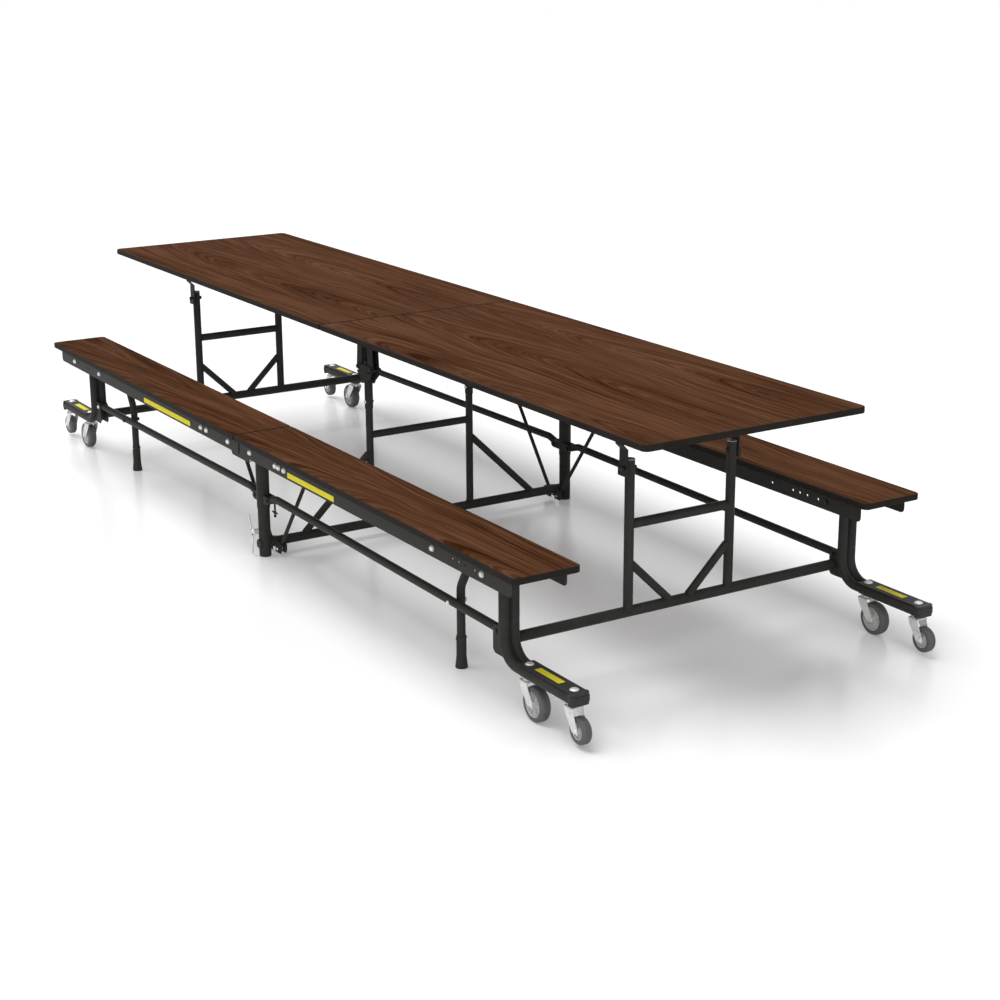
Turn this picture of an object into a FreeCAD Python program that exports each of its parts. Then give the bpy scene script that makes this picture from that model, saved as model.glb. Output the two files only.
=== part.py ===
import FreeCAD, Part
import math
import os

# Folding cafeteria table with attached benches, in millimetres.
# X runs along the table, the near half is +X and the far half is -X.
# Y runs across it, the right bench is +Y and the left bench is -Y. Z is up, the floor is Z = 0.
# Pieces are drawn once in the near right quarter (+X, +Y) and mirrored into the others.

V = FreeCAD.Vector

# ---- Boards -------------------------------------------------------------------------------
table_length = 3658.0
table_width = 762.0
table_height = 768.0
bench_length = 3439.0
bench_width = 215.0
bench_height = 436.0
overall_width = 1422.0
board_thickness = 19.0
seam_gap = 4.0
table_corner = 20.0
bench_corner = 18.0
seam_corner = 7.0
edge_band = 3.0
edge_round = 3.5

# ---- Linkage: every long member turns through the same angle ----------------------------------
arm_span = 1445.0            # pivot to pivot, centre frame to end frame
mid_leg_span = 1182.0        # pivot to pivot, centre frame to intermediate leg
bench_pivot_x = 85.0
frame_pivot_x = 45.0         # pivots of the lower links and of the table halves
bench_pivot_drop = 25.0      # below the underside of the bench board
table_pivot_drop = 151.0     # below the underside of the table board
link_pivot_z = 205.0
running_gap = 0.05           # radial clearance of every pivot
side_gap = 0.3               # clearance between faces that slide past each other

# ---- Tubes ----------------------------------------------------------------------------------
tube_r = 12.7
tube_wall = 1.8
leg_tube_r = 14.3            # uprights and crossbar of the end frames, legs with casters
cross_tube_r = 16.0
cross_tube_wall = 2.0
brace_r = 12.0
eye_wall = 1.0               # an eye stands this much proud of its tube
eye_inset = 0.5              # and is this much narrower on each side

# ---- Bench rails ------------------------------------------------------------------------------
rail_depth = 50.0
rail_thickness = 2.5
rail_flange = 26.0
rail_end_inset = 42.0
rail_seam_inset = 6.0
rail_corner = 14.0
outer_rail_inset = 21.0      # from the outer edge of the board
inner_rail_inset = 20.0      # from the inner edge of the board
tie_width = 30.0
tie_thickness = 4.0
tie_stations = (230.0, 760.0, 1150.0, 1640.0)
near_extra_bolts = (275.0, 300.0, 338.0)
far_extra_bolts = (260.0, 307.0)
rail_hole_stations = (1377.0, 1409.0, 1443.0, 1492.0)
rail_hole_r = 4.0
spare_hole_x = 1280.0        # in the rails of the right bench, which has no intermediate leg
rod_lug_thickness = 3.0
rod_lug_width = 30.0
rod_lug_drop = 14.0          # below the axis of its bolt

# ---- Frame under each table half --------------------------------------------------------------
table_rail_height = 22.0
table_rail_width = 21.0
table_rail_wall = 2.0
table_rail_end_inset = 130.0
arm_plate_gap = 1.0
table_arm_thickness = 4.0
table_arm_inboard = 25.0     # from the pivot towards the seam
table_arm_outboard = 13.0    # from the pivot towards the end
table_arm_drop = 22.0
table_arm_boss = 5.0
table_arm_boss_height = 24.0
joggle_rise = 56.0           # above the table pivot
joggle_height = 14.0
centre_arm_web = 3.0
centre_arm_clear = 2.0
crossbar_width = 30.0
crossbar_height = 14.0
crossbar_reach = 330.0
crossbar_stations = (150.0, 800.0, 1640.0)

# ---- Centre frame -----------------------------------------------------------------------------
post_inset = 101.0           # from the outer edge of the benches
sleeve_r = 22.0
sleeve_wall = 1.6
sleeve_bottom_z = 170.0
sleeve_top_drop = 9.0        # below the underside of the bench board
post_tube_overlap = 60.0
glide_height = 6.0
centre_cross_z = 45.0
cross_tube_stub = 2.0        # the cross tube stands out past the left post
cap_wall = 2.0
cap_length = 10.0
centre_upright_y = 200.0
upright_top_rise = 27.0      # above the table pivot
height_sleeve_wall = 1.6
height_sleeve_length = 169.0
height_sleeve_overlap = 60.0 # how far the upright runs up inside its sleeve
centre_crossbar_z = 362.0
centre_brace_top_z = 297.0
centre_brace_foot_y = 460.0
clevis_thickness = 3.0
clevis_bite = 1.0            # the clevis plates overlap the upright by this much
clevis_r = 12.5
clevis_drop = 48.0           # foot of the clevis plates, below the pivot
clevis_waist = 22.0
clevis_foot = 16.0
carrier_thickness = 3.2
carrier_end_r = 17.0
carrier_lobe_x = 75.0
carrier_foot_x = 62.0
carrier_drop = 39.0
lug_r = 14.0
screw_x = 32.0
screw_reach = 5.0
screw_length = 54.0
tommy_reach = 19.0
screw_r = 3.5
screw_tab_width = 12.0

# ---- End frames -------------------------------------------------------------------------------
end_cross_z = 173.0
end_upright_y = 180.0
end_upright_top_rise = 25.0
end_crossbar_z = 433.0
end_brace_top_z = 315.0
end_brace_foot_y = 35.0

# ---- Legs with casters --------------------------------------------------------------------------
leg_inset = 106.0            # from the outer edge of the benches
leg_tube_spacing = 34.5
leg_top_rise = 20.0          # above the bench pivot
leg_bend_r = 68.0
arm_axis_z = 134.3
arm_tube_end = 1858.0
arm_cap_length = 20.0
arm_cap_corner = 8.0
arm_cap_round = 3.0
arm_cap_groove = 1.2
arm_plate_width = 54.0
arm_pad_width = 40.0         # the plate under the arm is narrower
arm_plate_thickness = 3.0
arm_plate_start = 1611.0
leg_web = 3.0
leg_web_drop = 17.0          # from the bench pivot down to the web
link_bracket_thickness = 3.5
link_bracket_r = 17.0        # round the pivot of the link
link_bracket_drop = 66.0
link_bracket_heel = 15.0     # its lower corner is cut off by this much

# ---- Casters ----------------------------------------------------------------------------------
inner_stem_x = 1632.0
outer_stem_x = 1844.0
inner_wheel_r = 50.0
inner_wheel_width = 32.0
inner_trail = 36.0
outer_wheel_r = 38.0
outer_wheel_width = 27.0
outer_trail = 31.0
outer_wheel_lift = 11.0
stem_r = 6.35
race_r = 19.0
race_height = 8.0
fork_thickness = 3.0
fork_gap = 2.5
fork_foot_r = 11.0
axle_r = 4.0
tyre_depth = 14.0
dome_r = 13.0
dome_height = 5.0

# ---- Intermediate legs ---------------------------------------------------------------------------
mid_leg_inset = 136.0        # from the outer edge of the bench
mid_leg_shoulder_z = 312.0
mid_leg_knee_z = 245.0
mid_leg_bend_r = 55.0
mid_sleeve_r = 14.8
mid_sleeve_top_z = 98.0
mid_sleeve_bolt_drop = 8.0
foot_height = 40.0
foot_bottom_r = 18.5
foot_round = 2.0

# ---- Lower links ---------------------------------------------------------------------------------
link_crank_x = 96.0
link_crank_rise = 14.0
link_bend_r = 40.0

# ---- Lock rods -----------------------------------------------------------------------------------
lock_rod_r = 6.5
lock_rod_inset = 144.0       # from the outer edge of the bench
lock_rod_top_x = 300.0
lock_rod_top_z = 390.0
lock_rod_foot_x = 38.0
lock_rod_foot_z = 40.0
lock_eye_r = 9.5
lock_eye_half = 7.0           # half its width
base_plate_thickness = 3.0
base_plate_gap = 1.5
base_plate_low_z = 12.0
base_plate_nose_low_z = 24.0
base_plate_nose_high_z = 46.0
base_plate_high_z = 58.0
base_plate_reach = 20.0      # past the foot of the lock rod
base_plate_chamfer = 10.0
catch_pin_x = 25.0
catch_pin_z = 24.0
catch_pin_r = 4.0
catch_roller_r = 6.5

# ---- Fasteners -----------------------------------------------------------------------------------
shaft_r = 6.0
shaft_collar_r = 9.0
leg_bolt_r = 4.0
head_r = 9.5
head_height = 7.0
pivot_head_r = 7.5
pivot_head_height = 4.0
washer_height = 1.5
nut_height = 7.0
small_head_r = 6.0
small_head_height = 4.0

# ---- Latch lever ---------------------------------------------------------------------------------
latch_x = -10.0
latch_z = 88.0
latch_ring_r = 13.0
latch_thickness = 4.0
latch_stud_r = 6.0
latch_standoff = 15.0
latch_blade = 82.0
latch_finger = 52.0

# ---- Places worked out from the sizes above ------------------------------------------------------
table_under = table_height - board_thickness
bench_under = bench_height - board_thickness
bench_outer = overall_width / 2.0
bench_inner = bench_outer - bench_width
post_y = bench_outer - post_inset
leg_y = bench_outer - leg_inset
mid_leg_y = bench_outer - mid_leg_inset
lock_rod_y = bench_outer - lock_rod_inset
outer_rail_y = bench_outer - outer_rail_inset
inner_rail_y = bench_inner + inner_rail_inset
rail_end_x = bench_length / 2.0 - rail_end_inset
bench_pivot_z = bench_under - bench_pivot_drop
table_pivot_z = table_under - table_pivot_drop
end_leg_x = bench_pivot_x + arm_span
end_frame_x = frame_pivot_x + arm_span
mid_pivot_x = bench_pivot_x + mid_leg_span
mid_link_x = frame_pivot_x + mid_leg_span
arm_top_z = arm_axis_z + leg_tube_r + arm_plate_thickness
arm_bottom_z = arm_axis_z - leg_tube_r - arm_plate_thickness
leg_tube_y = (leg_y - leg_tube_spacing / 2.0, leg_y + leg_tube_spacing / 2.0)
bracket_inner_y = leg_y - tube_r - side_gap - link_bracket_thickness
bracket_outer_y = leg_y + tube_r + side_gap
post_tube_r = sleeve_r - sleeve_wall - running_gap
height_sleeve_r = tube_r + running_gap + height_sleeve_wall
end_arm_y = end_upright_y + leg_tube_r + arm_plate_gap
rail_low_y = end_arm_y + table_arm_thickness - table_rail_width / 2.0
rail_high_y = rail_low_y + table_rail_width
clevis_low_y = centre_upright_y - height_sleeve_r - clevis_thickness + clevis_bite
clevis_high_y = centre_upright_y + height_sleeve_r - clevis_bite
centre_arm_low = clevis_low_y + clevis_thickness + 2.0 * side_gap
centre_arm_high = clevis_high_y - 2.0 * side_gap


# ---- Plain shapes --------------------------------------------------------------------------------
def box(x0, x1, y0, y1, z0, z1):
    """Block between two corners."""
    return Part.makeBox(x1 - x0, y1 - y0, z1 - z0, V(x0, y0, z0))


def rod_y(x, z, radius, y0, y1):
    """Round bar across the table."""
    return Part.makeCylinder(radius, y1 - y0, V(x, y0, z), V(0, 1, 0))


def rod_z(x, y, radius, z0, z1):
    """Upright round bar."""
    return Part.makeCylinder(radius, z1 - z0, V(x, y, z0), V(0, 0, 1))


def tube_y(x, z, radius, wall, y0, y1):
    """Round tube across the table."""
    return rod_y(x, z, radius, y0, y1).cut(rod_y(x, z, radius - wall, y0, y1))


def tube_z(x, y, radius, wall, z0, z1):
    """Upright round tube."""
    return rod_z(x, y, radius, z0, z1).cut(rod_z(x, y, radius - wall, z0, z1))


def slanted_tube(start, end, radius, wall):
    """Straight round tube between two points."""
    run = end - start
    outer = Part.makeCylinder(radius, run.Length, start, run)
    return outer.cut(Part.makeCylinder(radius - wall, run.Length, start, run))


def plate_xz(points, y0, y1):
    """Flat plate with its outline in the XZ plane."""
    outline = Part.makePolygon([V(x, y0, z) for x, z in points + points[:1]])
    return Part.Face(outline).extrude(V(0, y1 - y0, 0))


def plate_yz(points, x0, x1):
    """Flat plate with its outline in the YZ plane."""
    outline = Part.makePolygon([V(x0, y, z) for y, z in points + points[:1]])
    return Part.Face(outline).extrude(V(x1 - x0, 0, 0))


def fuse_all(shapes):
    """One solid from shapes that overlap."""
    whole = shapes[0]
    for shape in shapes[1:]:
        whole = whole.fuse(shape)
    return whole.removeSplitter()


def rounded_board(x0, x1, y0, y1, z0, z1, r0, r1):
    """Board with corner radius r0 at its x0 end and r1 at its x1 end."""
    block = box(x0, x1, y0, y1, z0, z1)
    for x, radius in ((x0, r0), (x1, r1)):
        corners = []
        for edge in block.Edges:
            ends = [vertex.Point for vertex in edge.Vertexes]
            upright = abs(ends[0].z - ends[-1].z) > (z1 - z0) / 2.0
            if upright and abs(ends[0].x - x) < 1e-6:
                corners.append(edge)
        block = block.makeFillet(radius, corners)
    return block


def bend_path(points, radius, y):
    """Centre line through (x, z) points, with each corner a tangent arc of one radius."""
    corners = [V(x, y, z) for x, z in points]
    edges = []
    start = corners[0]
    for before, here, after in zip(corners, corners[1:], corners[2:]):
        arriving = (here - before).normalize()
        leaving = (after - here).normalize()
        setback = radius * math.tan(arriving.getAngle(leaving) / 2.0)
        arc_start = here - arriving * setback
        arc_end = here + leaving * setback
        bisector = (leaving - arriving).normalize()
        centre_distance = math.hypot(radius, setback)
        middle = here + bisector * (centre_distance - radius)
        edges.append(Part.LineSegment(start, arc_start).toShape())
        edges.append(Part.Arc(arc_start, middle, arc_end).toShape())
        start = arc_end
    edges.append(Part.LineSegment(start, corners[-1]).toShape())
    return Part.Wire(edges)


def bent_rod(points, radius, bend_r, y):
    """Round bar swept along a bent centre line."""
    path = bend_path(points, bend_r, y)
    first = path.Edges[0]
    direction = first.tangentAt(first.FirstParameter)
    circle = Part.Wire(Part.makeCircle(radius, V(points[0][0], y, points[0][1]), direction))
    return path.makePipeShell([circle], True, False)


def with_eyes(tube, points, y):
    """Tube with a solid cross-bored eye at each (x, z) point, before boring."""
    for x, z in points:
        eye = rod_y(x, z, tube_r + eye_wall, y - tube_r + eye_inset, y + tube_r - eye_inset)
        tube = tube.fuse(eye)
    return max(tube.removeSplitter().Solids, key=lambda solid: solid.Volume)


def mirror_side(shape):
    """The same piece on the other side, left for right."""
    return shape.mirror(V(0, 0, 0), V(0, 1, 0))


def mirror_half(shape):
    """The same piece on the other half, far for near."""
    return shape.mirror(V(0, 0, 0), V(1, 0, 0))


def both_sides(shapes):
    """Right pieces and their left copies."""
    return shapes + [mirror_side(shape) for shape in shapes]


# ---- Fasteners -----------------------------------------------------------------------------------
def dome_y(x, z, radius, height, y0):
    """Domed head that stands out in +Y from y0."""
    head = rod_y(x, z, radius, y0, y0 + height)
    rim = [edge for edge in head.Edges if abs(edge.BoundBox.YMin - y0 - height) < 1e-6]
    return head.makeFillet(height * 0.85, rim)


def hex_y(x, z, radius, y0, y1):
    """Hexagon nut across the table."""
    points = []
    for corner in range(6):
        turn = math.radians(60.0 * corner)
        points.append((x + radius * math.cos(turn), z + radius * math.sin(turn)))
    return plate_xz(points, y0, y1)


def through_bolt(x, z, radius, y0, y1, big_r, big_height):
    """Bolt along Y with a washer and domed head at y1 and a nut at y0."""
    shank = rod_y(x, z, radius, y0 - nut_height, y1)
    washer = rod_y(x, z, big_r, y1, y1 + washer_height)
    head = dome_y(x, z, big_r * 0.9, big_height, y1 + washer_height)
    nut = hex_y(x, z, big_r * 0.95, y0 - nut_height * 0.8, y0)
    return fuse_all([shank, washer, head, nut])


def bench_shaft(x, members):
    """Cross shaft between the two bench rails, with collars between the members that turn on it."""
    z = bench_pivot_z
    shaft = through_bolt(x, z, shaft_r, inner_rail_y, outer_rail_y, head_r, head_height)
    edges = [inner_rail_y + rail_thickness]
    for low, high in members:
        edges += [low, high]
    edges.append(outer_rail_y - rail_thickness)
    parts = [shaft]
    for low, high in zip(edges[0::2], edges[1::2]):
        if high - low > 4.0 * side_gap:
            parts.append(rod_y(x, z, shaft_collar_r, low + side_gap, high - side_gap))
    return fuse_all(parts)


# ---- Boards --------------------------------------------------------------------------------------
def board_core(x1, y0, y1, top_z, corner):
    """Laminated board inside its edge band."""
    x0 = seam_gap / 2.0 + edge_band
    inner_corner = corner - edge_band
    return rounded_board(x0, x1 - edge_band, y0 + edge_band, y1 - edge_band,
                         top_z - board_thickness, top_z, seam_corner - edge_band, inner_corner)


def board_edge(x1, y0, y1, top_z, corner):
    """Vinyl edge band all round one board, with a rounded outer face."""
    outer = rounded_board(seam_gap / 2.0, x1, y0, y1, top_z - board_thickness, top_z,
                          seam_corner, corner)
    rims = []
    for edge in outer.Edges:
        box_z = edge.BoundBox
        if box_z.ZMax - box_z.ZMin < 1e-6:
            rims.append(edge)
    rounded = outer.makeFillet(min(edge_round, edge_band * 0.9), rims)
    return rounded.cut(board_core(x1, y0, y1, top_z, corner))


def table_board_limits():
    """Outer end, sides and top of the near table half."""
    return table_length / 2.0, -table_width / 2.0, table_width / 2.0, table_height, table_corner


def bench_board_limits():
    """Outer end, sides and top of the near right bench half."""
    return bench_length / 2.0, bench_inner, bench_outer, bench_height, bench_corner


# ---- Frame under each table half -----------------------------------------------------------------


def table_rail():
    """Square rail under the table board, from the seam to near the end."""
    x0 = height_sleeve_r + centre_arm_clear
    x1 = table_length / 2.0 - table_rail_end_inset
    low = table_under - table_rail_height
    wall = table_rail_wall
    outer = box(x0, x1, rail_low_y, rail_high_y, low, table_under)
    return outer.cut(box(x0, x1, rail_low_y + wall, rail_high_y - wall, low + wall, table_under - wall))


def table_crossbars():
    """Flat box bars across the underside, in the bays between and outside the rails."""
    bars = []
    low = table_under - crossbar_height
    wall = table_rail_wall
    for x in crossbar_stations:
        x0 = x - crossbar_width / 2.0
        x1 = x + crossbar_width / 2.0
        bays = [(-rail_low_y, rail_low_y), (rail_high_y, crossbar_reach), (-crossbar_reach, -rail_high_y)]
        for y0, y1 in bays:
            bar = box(x0, x1, y0, y1, low, table_under)
            bars.append(bar.cut(box(x0 + wall, x1 - wall, y0, y1, low + wall, table_under - wall)))
    return bars


def table_end_arm():
    """Joggled plate from the rail down past the outside of the end upright, with a boss at its foot."""
    low_y = end_arm_y
    high_y = rail_high_y
    thick = table_arm_thickness
    foot = table_pivot_z - table_arm_drop
    step_low = table_pivot_z + joggle_rise
    step_high = step_low + joggle_height
    outline = [(low_y, foot), (low_y + thick, foot), (low_y + thick, step_low),
               (high_y + thick, step_high), (high_y + thick, table_under), (high_y, table_under),
               (high_y, step_high + 1.0), (low_y, step_low + 1.0)]
    x0 = end_frame_x - table_arm_inboard
    x1 = end_frame_x + table_arm_outboard
    boss = box(x0, x1, low_y + thick, low_y + thick + table_arm_boss, foot, foot + table_arm_boss_height)
    arm = plate_yz(outline, x0, x1).fuse(boss).removeSplitter()
    return arm.cut(rod_y(end_frame_x, table_pivot_z, shaft_r + running_gap, 0, table_width / 2.0))


def table_centre_arm():
    """Channel-shaped arm from the rail down to the pivot beside the centre upright."""
    x0 = height_sleeve_r + centre_arm_clear
    x1 = frame_pivot_x + clevis_r
    top = table_under - table_rail_height
    shoulder = table_pivot_z + clevis_r
    outline = [(x0, top), (x1 - clevis_r * 0.8, top), (x1 - clevis_r * 0.8, shoulder + 8.0),
               (x1, table_pivot_z), (frame_pivot_x, table_pivot_z), (x0, shoulder)]
    cheeks = []
    for y0 in (centre_arm_low, centre_arm_high - centre_arm_web):
        y1 = y0 + centre_arm_web
        lobe = rod_y(frame_pivot_x, table_pivot_z, clevis_r, y0, y1)
        cheeks.append(plate_xz(outline, y0, y1).fuse(lobe))
    web = box(x0, x0 + centre_arm_web, centre_arm_low, centre_arm_high, shoulder, top)
    arm = fuse_all(cheeks + [web])
    bore = rod_y(frame_pivot_x, table_pivot_z, shaft_r + running_gap, centre_arm_low, centre_arm_high)
    return arm.cut(bore)


def table_frame():
    """Rails, crossbars and pivot arms of one table half."""
    return both_sides([table_rail(), table_end_arm(), table_centre_arm()]) + table_crossbars()


# ---- Bench rails ---------------------------------------------------------------------------------


def rail_web(y0, has_mid_leg):
    """Upright web of one rail with a rounded lower corner and its shaft holes."""
    y1 = y0 + rail_thickness
    low = bench_under - rail_depth
    web = box(rail_seam_inset, rail_end_x, y0, y1, low, bench_under)
    corners = []
    for edge in web.Edges:
        span = edge.BoundBox
        if span.YLength > rail_thickness / 2.0 and span.ZMax < low + 1e-6 and span.XLength < 1e-6:
            corners.append(edge)
    web = web.makeFillet(rail_corner, [edge for edge in corners if edge.BoundBox.XMax > rail_end_x - 1.0])
    shafts = [bench_pivot_x, end_leg_x] + ([mid_pivot_x] if has_mid_leg else [])
    holes = list(rail_hole_stations) + ([] if has_mid_leg else [spare_hole_x])
    for x in shafts:
        web = web.cut(rod_y(x, bench_pivot_z, shaft_r + running_gap, y0, y1))
    for x in holes:
        web = web.cut(rod_y(x, bench_pivot_z, rail_hole_r, y0, y1))
    return web


def bench_rails(has_mid_leg):
    """Outer and inner angle rails, their cross ties and the lug of the lock rod."""
    flange_z = bench_under - rail_thickness
    outer_y = outer_rail_y - rail_thickness
    outer = fuse_all([rail_web(outer_y, has_mid_leg),
                      box(rail_seam_inset, rail_end_x, outer_rail_y - rail_flange, outer_rail_y,
                          flange_z, bench_under)])
    inner = fuse_all([rail_web(inner_rail_y, has_mid_leg),
                      box(rail_seam_inset, rail_end_x, inner_rail_y, inner_rail_y + rail_flange,
                          flange_z, bench_under)])
    ties = []
    for x in tie_stations:
        half = tie_width / 2.0
        ties.append(box(x - half, x + half, inner_rail_y + rail_thickness, outer_y,
                        flange_z - tie_thickness, flange_z))
    half = rod_lug_width / 2.0
    lug_y = lock_rod_y + lock_eye_half + side_gap
    lug = box(lock_rod_top_x - half, lock_rod_top_x + half, lug_y, lug_y + rod_lug_thickness,
              lock_rod_top_z - rod_lug_drop, bench_under)
    lug = lug.cut(rod_y(lock_rod_top_x, lock_rod_top_z, leg_bolt_r + running_gap, lug_y,
                        lug_y + rod_lug_thickness))
    return [outer, inner, lug] + ties


def bench_bolts(extra_stations):
    """Cross shafts, the bolt of the lock rod and the round bolt heads on the outer rail."""
    centre_members = [(inner_rail_y + rail_thickness + side_gap, inner_rail_y + rail_thickness
                       + side_gap + carrier_thickness),
                      (outer_rail_y - rail_thickness - side_gap - carrier_thickness,
                       outer_rail_y - rail_thickness - side_gap)]
    parts = [bench_shaft(bench_pivot_x, centre_members),
             bench_shaft(end_leg_x, [(y - leg_tube_r, y + leg_tube_r) for y in leg_tube_y])]
    for x in extra_stations:
        head = fuse_all([rod_y(x, bench_pivot_z, head_r, outer_rail_y, outer_rail_y + washer_height),
                         dome_y(x, bench_pivot_z, head_r * 0.9, head_height, outer_rail_y + washer_height)])
        parts.append(head)
    lug_far = lock_rod_y + lock_eye_half + side_gap + rod_lug_thickness
    rod_bolt = fuse_all([rod_y(lock_rod_top_x, lock_rod_top_z, leg_bolt_r,
                               lock_rod_y - lock_eye_half - small_head_height, lug_far),
                         hex_y(lock_rod_top_x, lock_rod_top_z, pivot_head_r, lug_far,
                               lug_far + small_head_height),
                         rod_y(lock_rod_top_x, lock_rod_top_z, pivot_head_r,
                               lock_rod_y - lock_eye_half - small_head_height,
                               lock_rod_y - lock_eye_half - side_gap)])
    parts.append(rod_bolt)
    mid_shaft = bench_shaft(mid_pivot_x, [(mid_leg_y - tube_r, mid_leg_y + tube_r)])
    return both_sides(parts) + [mirror_side(mid_shaft)]


# ---- Centre frame --------------------------------------------------------------------------------


def centre_post(cross_hole):
    """Sleeve, lower tube and glide of one post, its lower tube bored where the cross tube passes."""
    top = bench_under - sleeve_top_drop
    sleeve = tube_z(0, post_y, sleeve_r, sleeve_wall, sleeve_bottom_z, top)
    foot = tube_z(0, post_y, post_tube_r, tube_wall, glide_height, sleeve_bottom_z + post_tube_overlap)
    if cross_hole:
        foot = foot.cut(rod_y(0, centre_cross_z, cross_tube_r, 0, bench_outer))
    glide = rod_z(0, post_y, post_tube_r, 0, glide_height)
    return [sleeve, foot, glide]


def cross_tube_end():
    """Where the cross tube stops, past the outside of the left post."""
    return post_y + post_tube_r + cross_tube_stub


def cross_tube_cap():
    """Plastic plug in the end of the centre cross tube."""
    end = cross_tube_end()
    plug = rod_y(0, centre_cross_z, cross_tube_r - cross_tube_wall, end - cap_length, end)
    return fuse_all([plug, rod_y(0, centre_cross_z, cross_tube_r, end, end + cap_wall)])


def centre_posts():
    """Both posts with their glides, and the cap on the left end of the cross tube."""
    left = [mirror_side(shape) for shape in centre_post(True) + [cross_tube_cap()]]
    return centre_post(False) + left


def centre_truss():
    """Cross tube, uprights with height sleeves, crossbar and outward braces."""
    end = cross_tube_end()
    cross_solid = rod_y(0, centre_cross_z, cross_tube_r, -end, end)
    cross = tube_y(0, centre_cross_z, cross_tube_r, cross_tube_wall, -end, post_y)
    cross = cross.cut(rod_z(0, post_y, post_tube_r, 0, centre_cross_z + 2.0 * cross_tube_r))
    sleeve_top = table_pivot_z + upright_top_rise
    sleeve_low = sleeve_top - height_sleeve_length
    upright_top = sleeve_low + height_sleeve_overlap
    upright_solid = rod_z(0, centre_upright_y, tube_r, centre_cross_z, upright_top)
    upright = tube_z(0, centre_upright_y, tube_r, tube_wall, centre_cross_z, upright_top)
    sleeve = tube_z(0, centre_upright_y, height_sleeve_r, height_sleeve_wall, sleeve_low, sleeve_top)
    brace = slanted_tube(V(0, centre_upright_y, centre_brace_top_z),
                         V(0, centre_brace_foot_y, centre_cross_z), brace_r, tube_wall)
    brace = brace.cut(upright_solid).cut(cross_solid)
    brace = max(brace.Solids, key=lambda solid: solid.Volume)
    bar = tube_y(0, centre_crossbar_z, tube_r, tube_wall, -centre_upright_y, centre_upright_y)
    bar = bar.cut(upright_solid).cut(mirror_side(upright_solid))
    bar = max(bar.Solids, key=lambda solid: solid.Volume)
    return [cross, bar] + both_sides([upright.cut(cross_solid), sleeve, brace])


def bench_carrier():
    """Side plates and floor plate that carry both bench halves on one post."""
    z = bench_pivot_z
    low = z - carrier_drop
    outline = [(-bench_pivot_x, z + carrier_end_r), (-bench_pivot_x, z - carrier_end_r),
               (-carrier_lobe_x, z - carrier_end_r), (-carrier_foot_x, low),
               (carrier_foot_x, low), (carrier_lobe_x, z - carrier_end_r),
               (bench_pivot_x, z - carrier_end_r), (bench_pivot_x, z + carrier_end_r)]
    inner_y = inner_rail_y + rail_thickness + side_gap
    outer_y = outer_rail_y - rail_thickness - side_gap - carrier_thickness
    plates = []
    for y0 in (inner_y, outer_y):
        y1 = y0 + carrier_thickness
        plate = fuse_all([plate_xz(outline, y0, y1)]
                         + [rod_y(x, z, carrier_end_r, y0, y1) for x in (-bench_pivot_x, bench_pivot_x)])
        for x in (-bench_pivot_x, bench_pivot_x):
            plate = plate.cut(rod_y(x, z, shaft_r + running_gap, y0, y1))
        plates.append(plate)
    floor = box(-carrier_foot_x, carrier_foot_x, inner_y + carrier_thickness, outer_y,
                low, low + carrier_thickness)
    return plates + [floor.cut(rod_z(0, post_y, sleeve_r, low, low + carrier_thickness))]


def link_lugs():
    """Lugs on one post that carry the inner ends of the lower links."""
    lugs = []
    for y0 in (bracket_inner_y, bracket_outer_y):
        y1 = y0 + link_bracket_thickness
        lug = fuse_all([box(0, frame_pivot_x, y0, y1, link_pivot_z - lug_r, link_pivot_z + lug_r),
                        rod_y(frame_pivot_x, link_pivot_z, lug_r, y0, y1)])
        lug = lug.cut(rod_z(0, post_y, sleeve_r, link_pivot_z - lug_r, link_pivot_z + lug_r))
        lug = max(lug.Solids, key=lambda solid: solid.Volume)
        lug = lug.cut(rod_y(frame_pivot_x, link_pivot_z, shaft_r + running_gap, y0, y1))
        lugs += [lug, mirror_half(lug)]
    return lugs


def table_clevis():
    """Two plates at the top of one centre upright that carry both table halves."""
    z = table_pivot_z
    x = frame_pivot_x
    foot = z - clevis_drop
    outline = [(-x, z + clevis_r), (-x, z - clevis_r), (-clevis_waist, z - clevis_r), (-clevis_foot, foot),
               (clevis_foot, foot), (clevis_waist, z - clevis_r), (x, z - clevis_r), (x, z + clevis_r)]
    plates = []
    for y0 in (clevis_low_y, clevis_high_y):
        y1 = y0 + clevis_thickness
        plate = fuse_all([plate_xz(outline, y0, y1)] + [rod_y(px, z, clevis_r, y0, y1) for px in (-x, x)])
        plate = plate.cut(rod_z(0, centre_upright_y, height_sleeve_r, foot, z + clevis_r))
        plate = max(plate.Solids, key=lambda solid: solid.Volume)
        for px in (-x, x):
            plate = plate.cut(rod_y(px, z, shaft_r + running_gap, y0, y1))
        plates.append(plate)
    return plates


def adjusting_screw():
    """Threaded stop with a cross nut, tommy bar and ball, on a tab of one inner lug."""
    x = screw_x
    y = bracket_inner_y - screw_reach
    top = link_pivot_z - lug_r + 6.0
    low = top - screw_length
    half = screw_tab_width / 2.0
    tab = box(x - half, x + half, y - half, bracket_inner_y, top - 4.0, top)
    stem = rod_z(x, y, screw_r, low, top - 4.0)
    ball = Part.makeSphere(screw_r + 1.5, V(x, y, low))
    nut = rod_z(x, y, screw_r + 2.5, low + 10.0, low + 15.0)
    bar = Part.makeCylinder(screw_r - 1.0, 2.0 * tommy_reach, V(x - tommy_reach, y, low + 12.5), V(1, 0, 0))
    return fuse_all([tab, stem, ball, nut, bar])


def centre_brackets():
    """Bench carriers, link lugs, table clevises and the adjusting screw."""
    return both_sides(bench_carrier() + link_lugs() + table_clevis()) + [mirror_side(adjusting_screw())]


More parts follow.
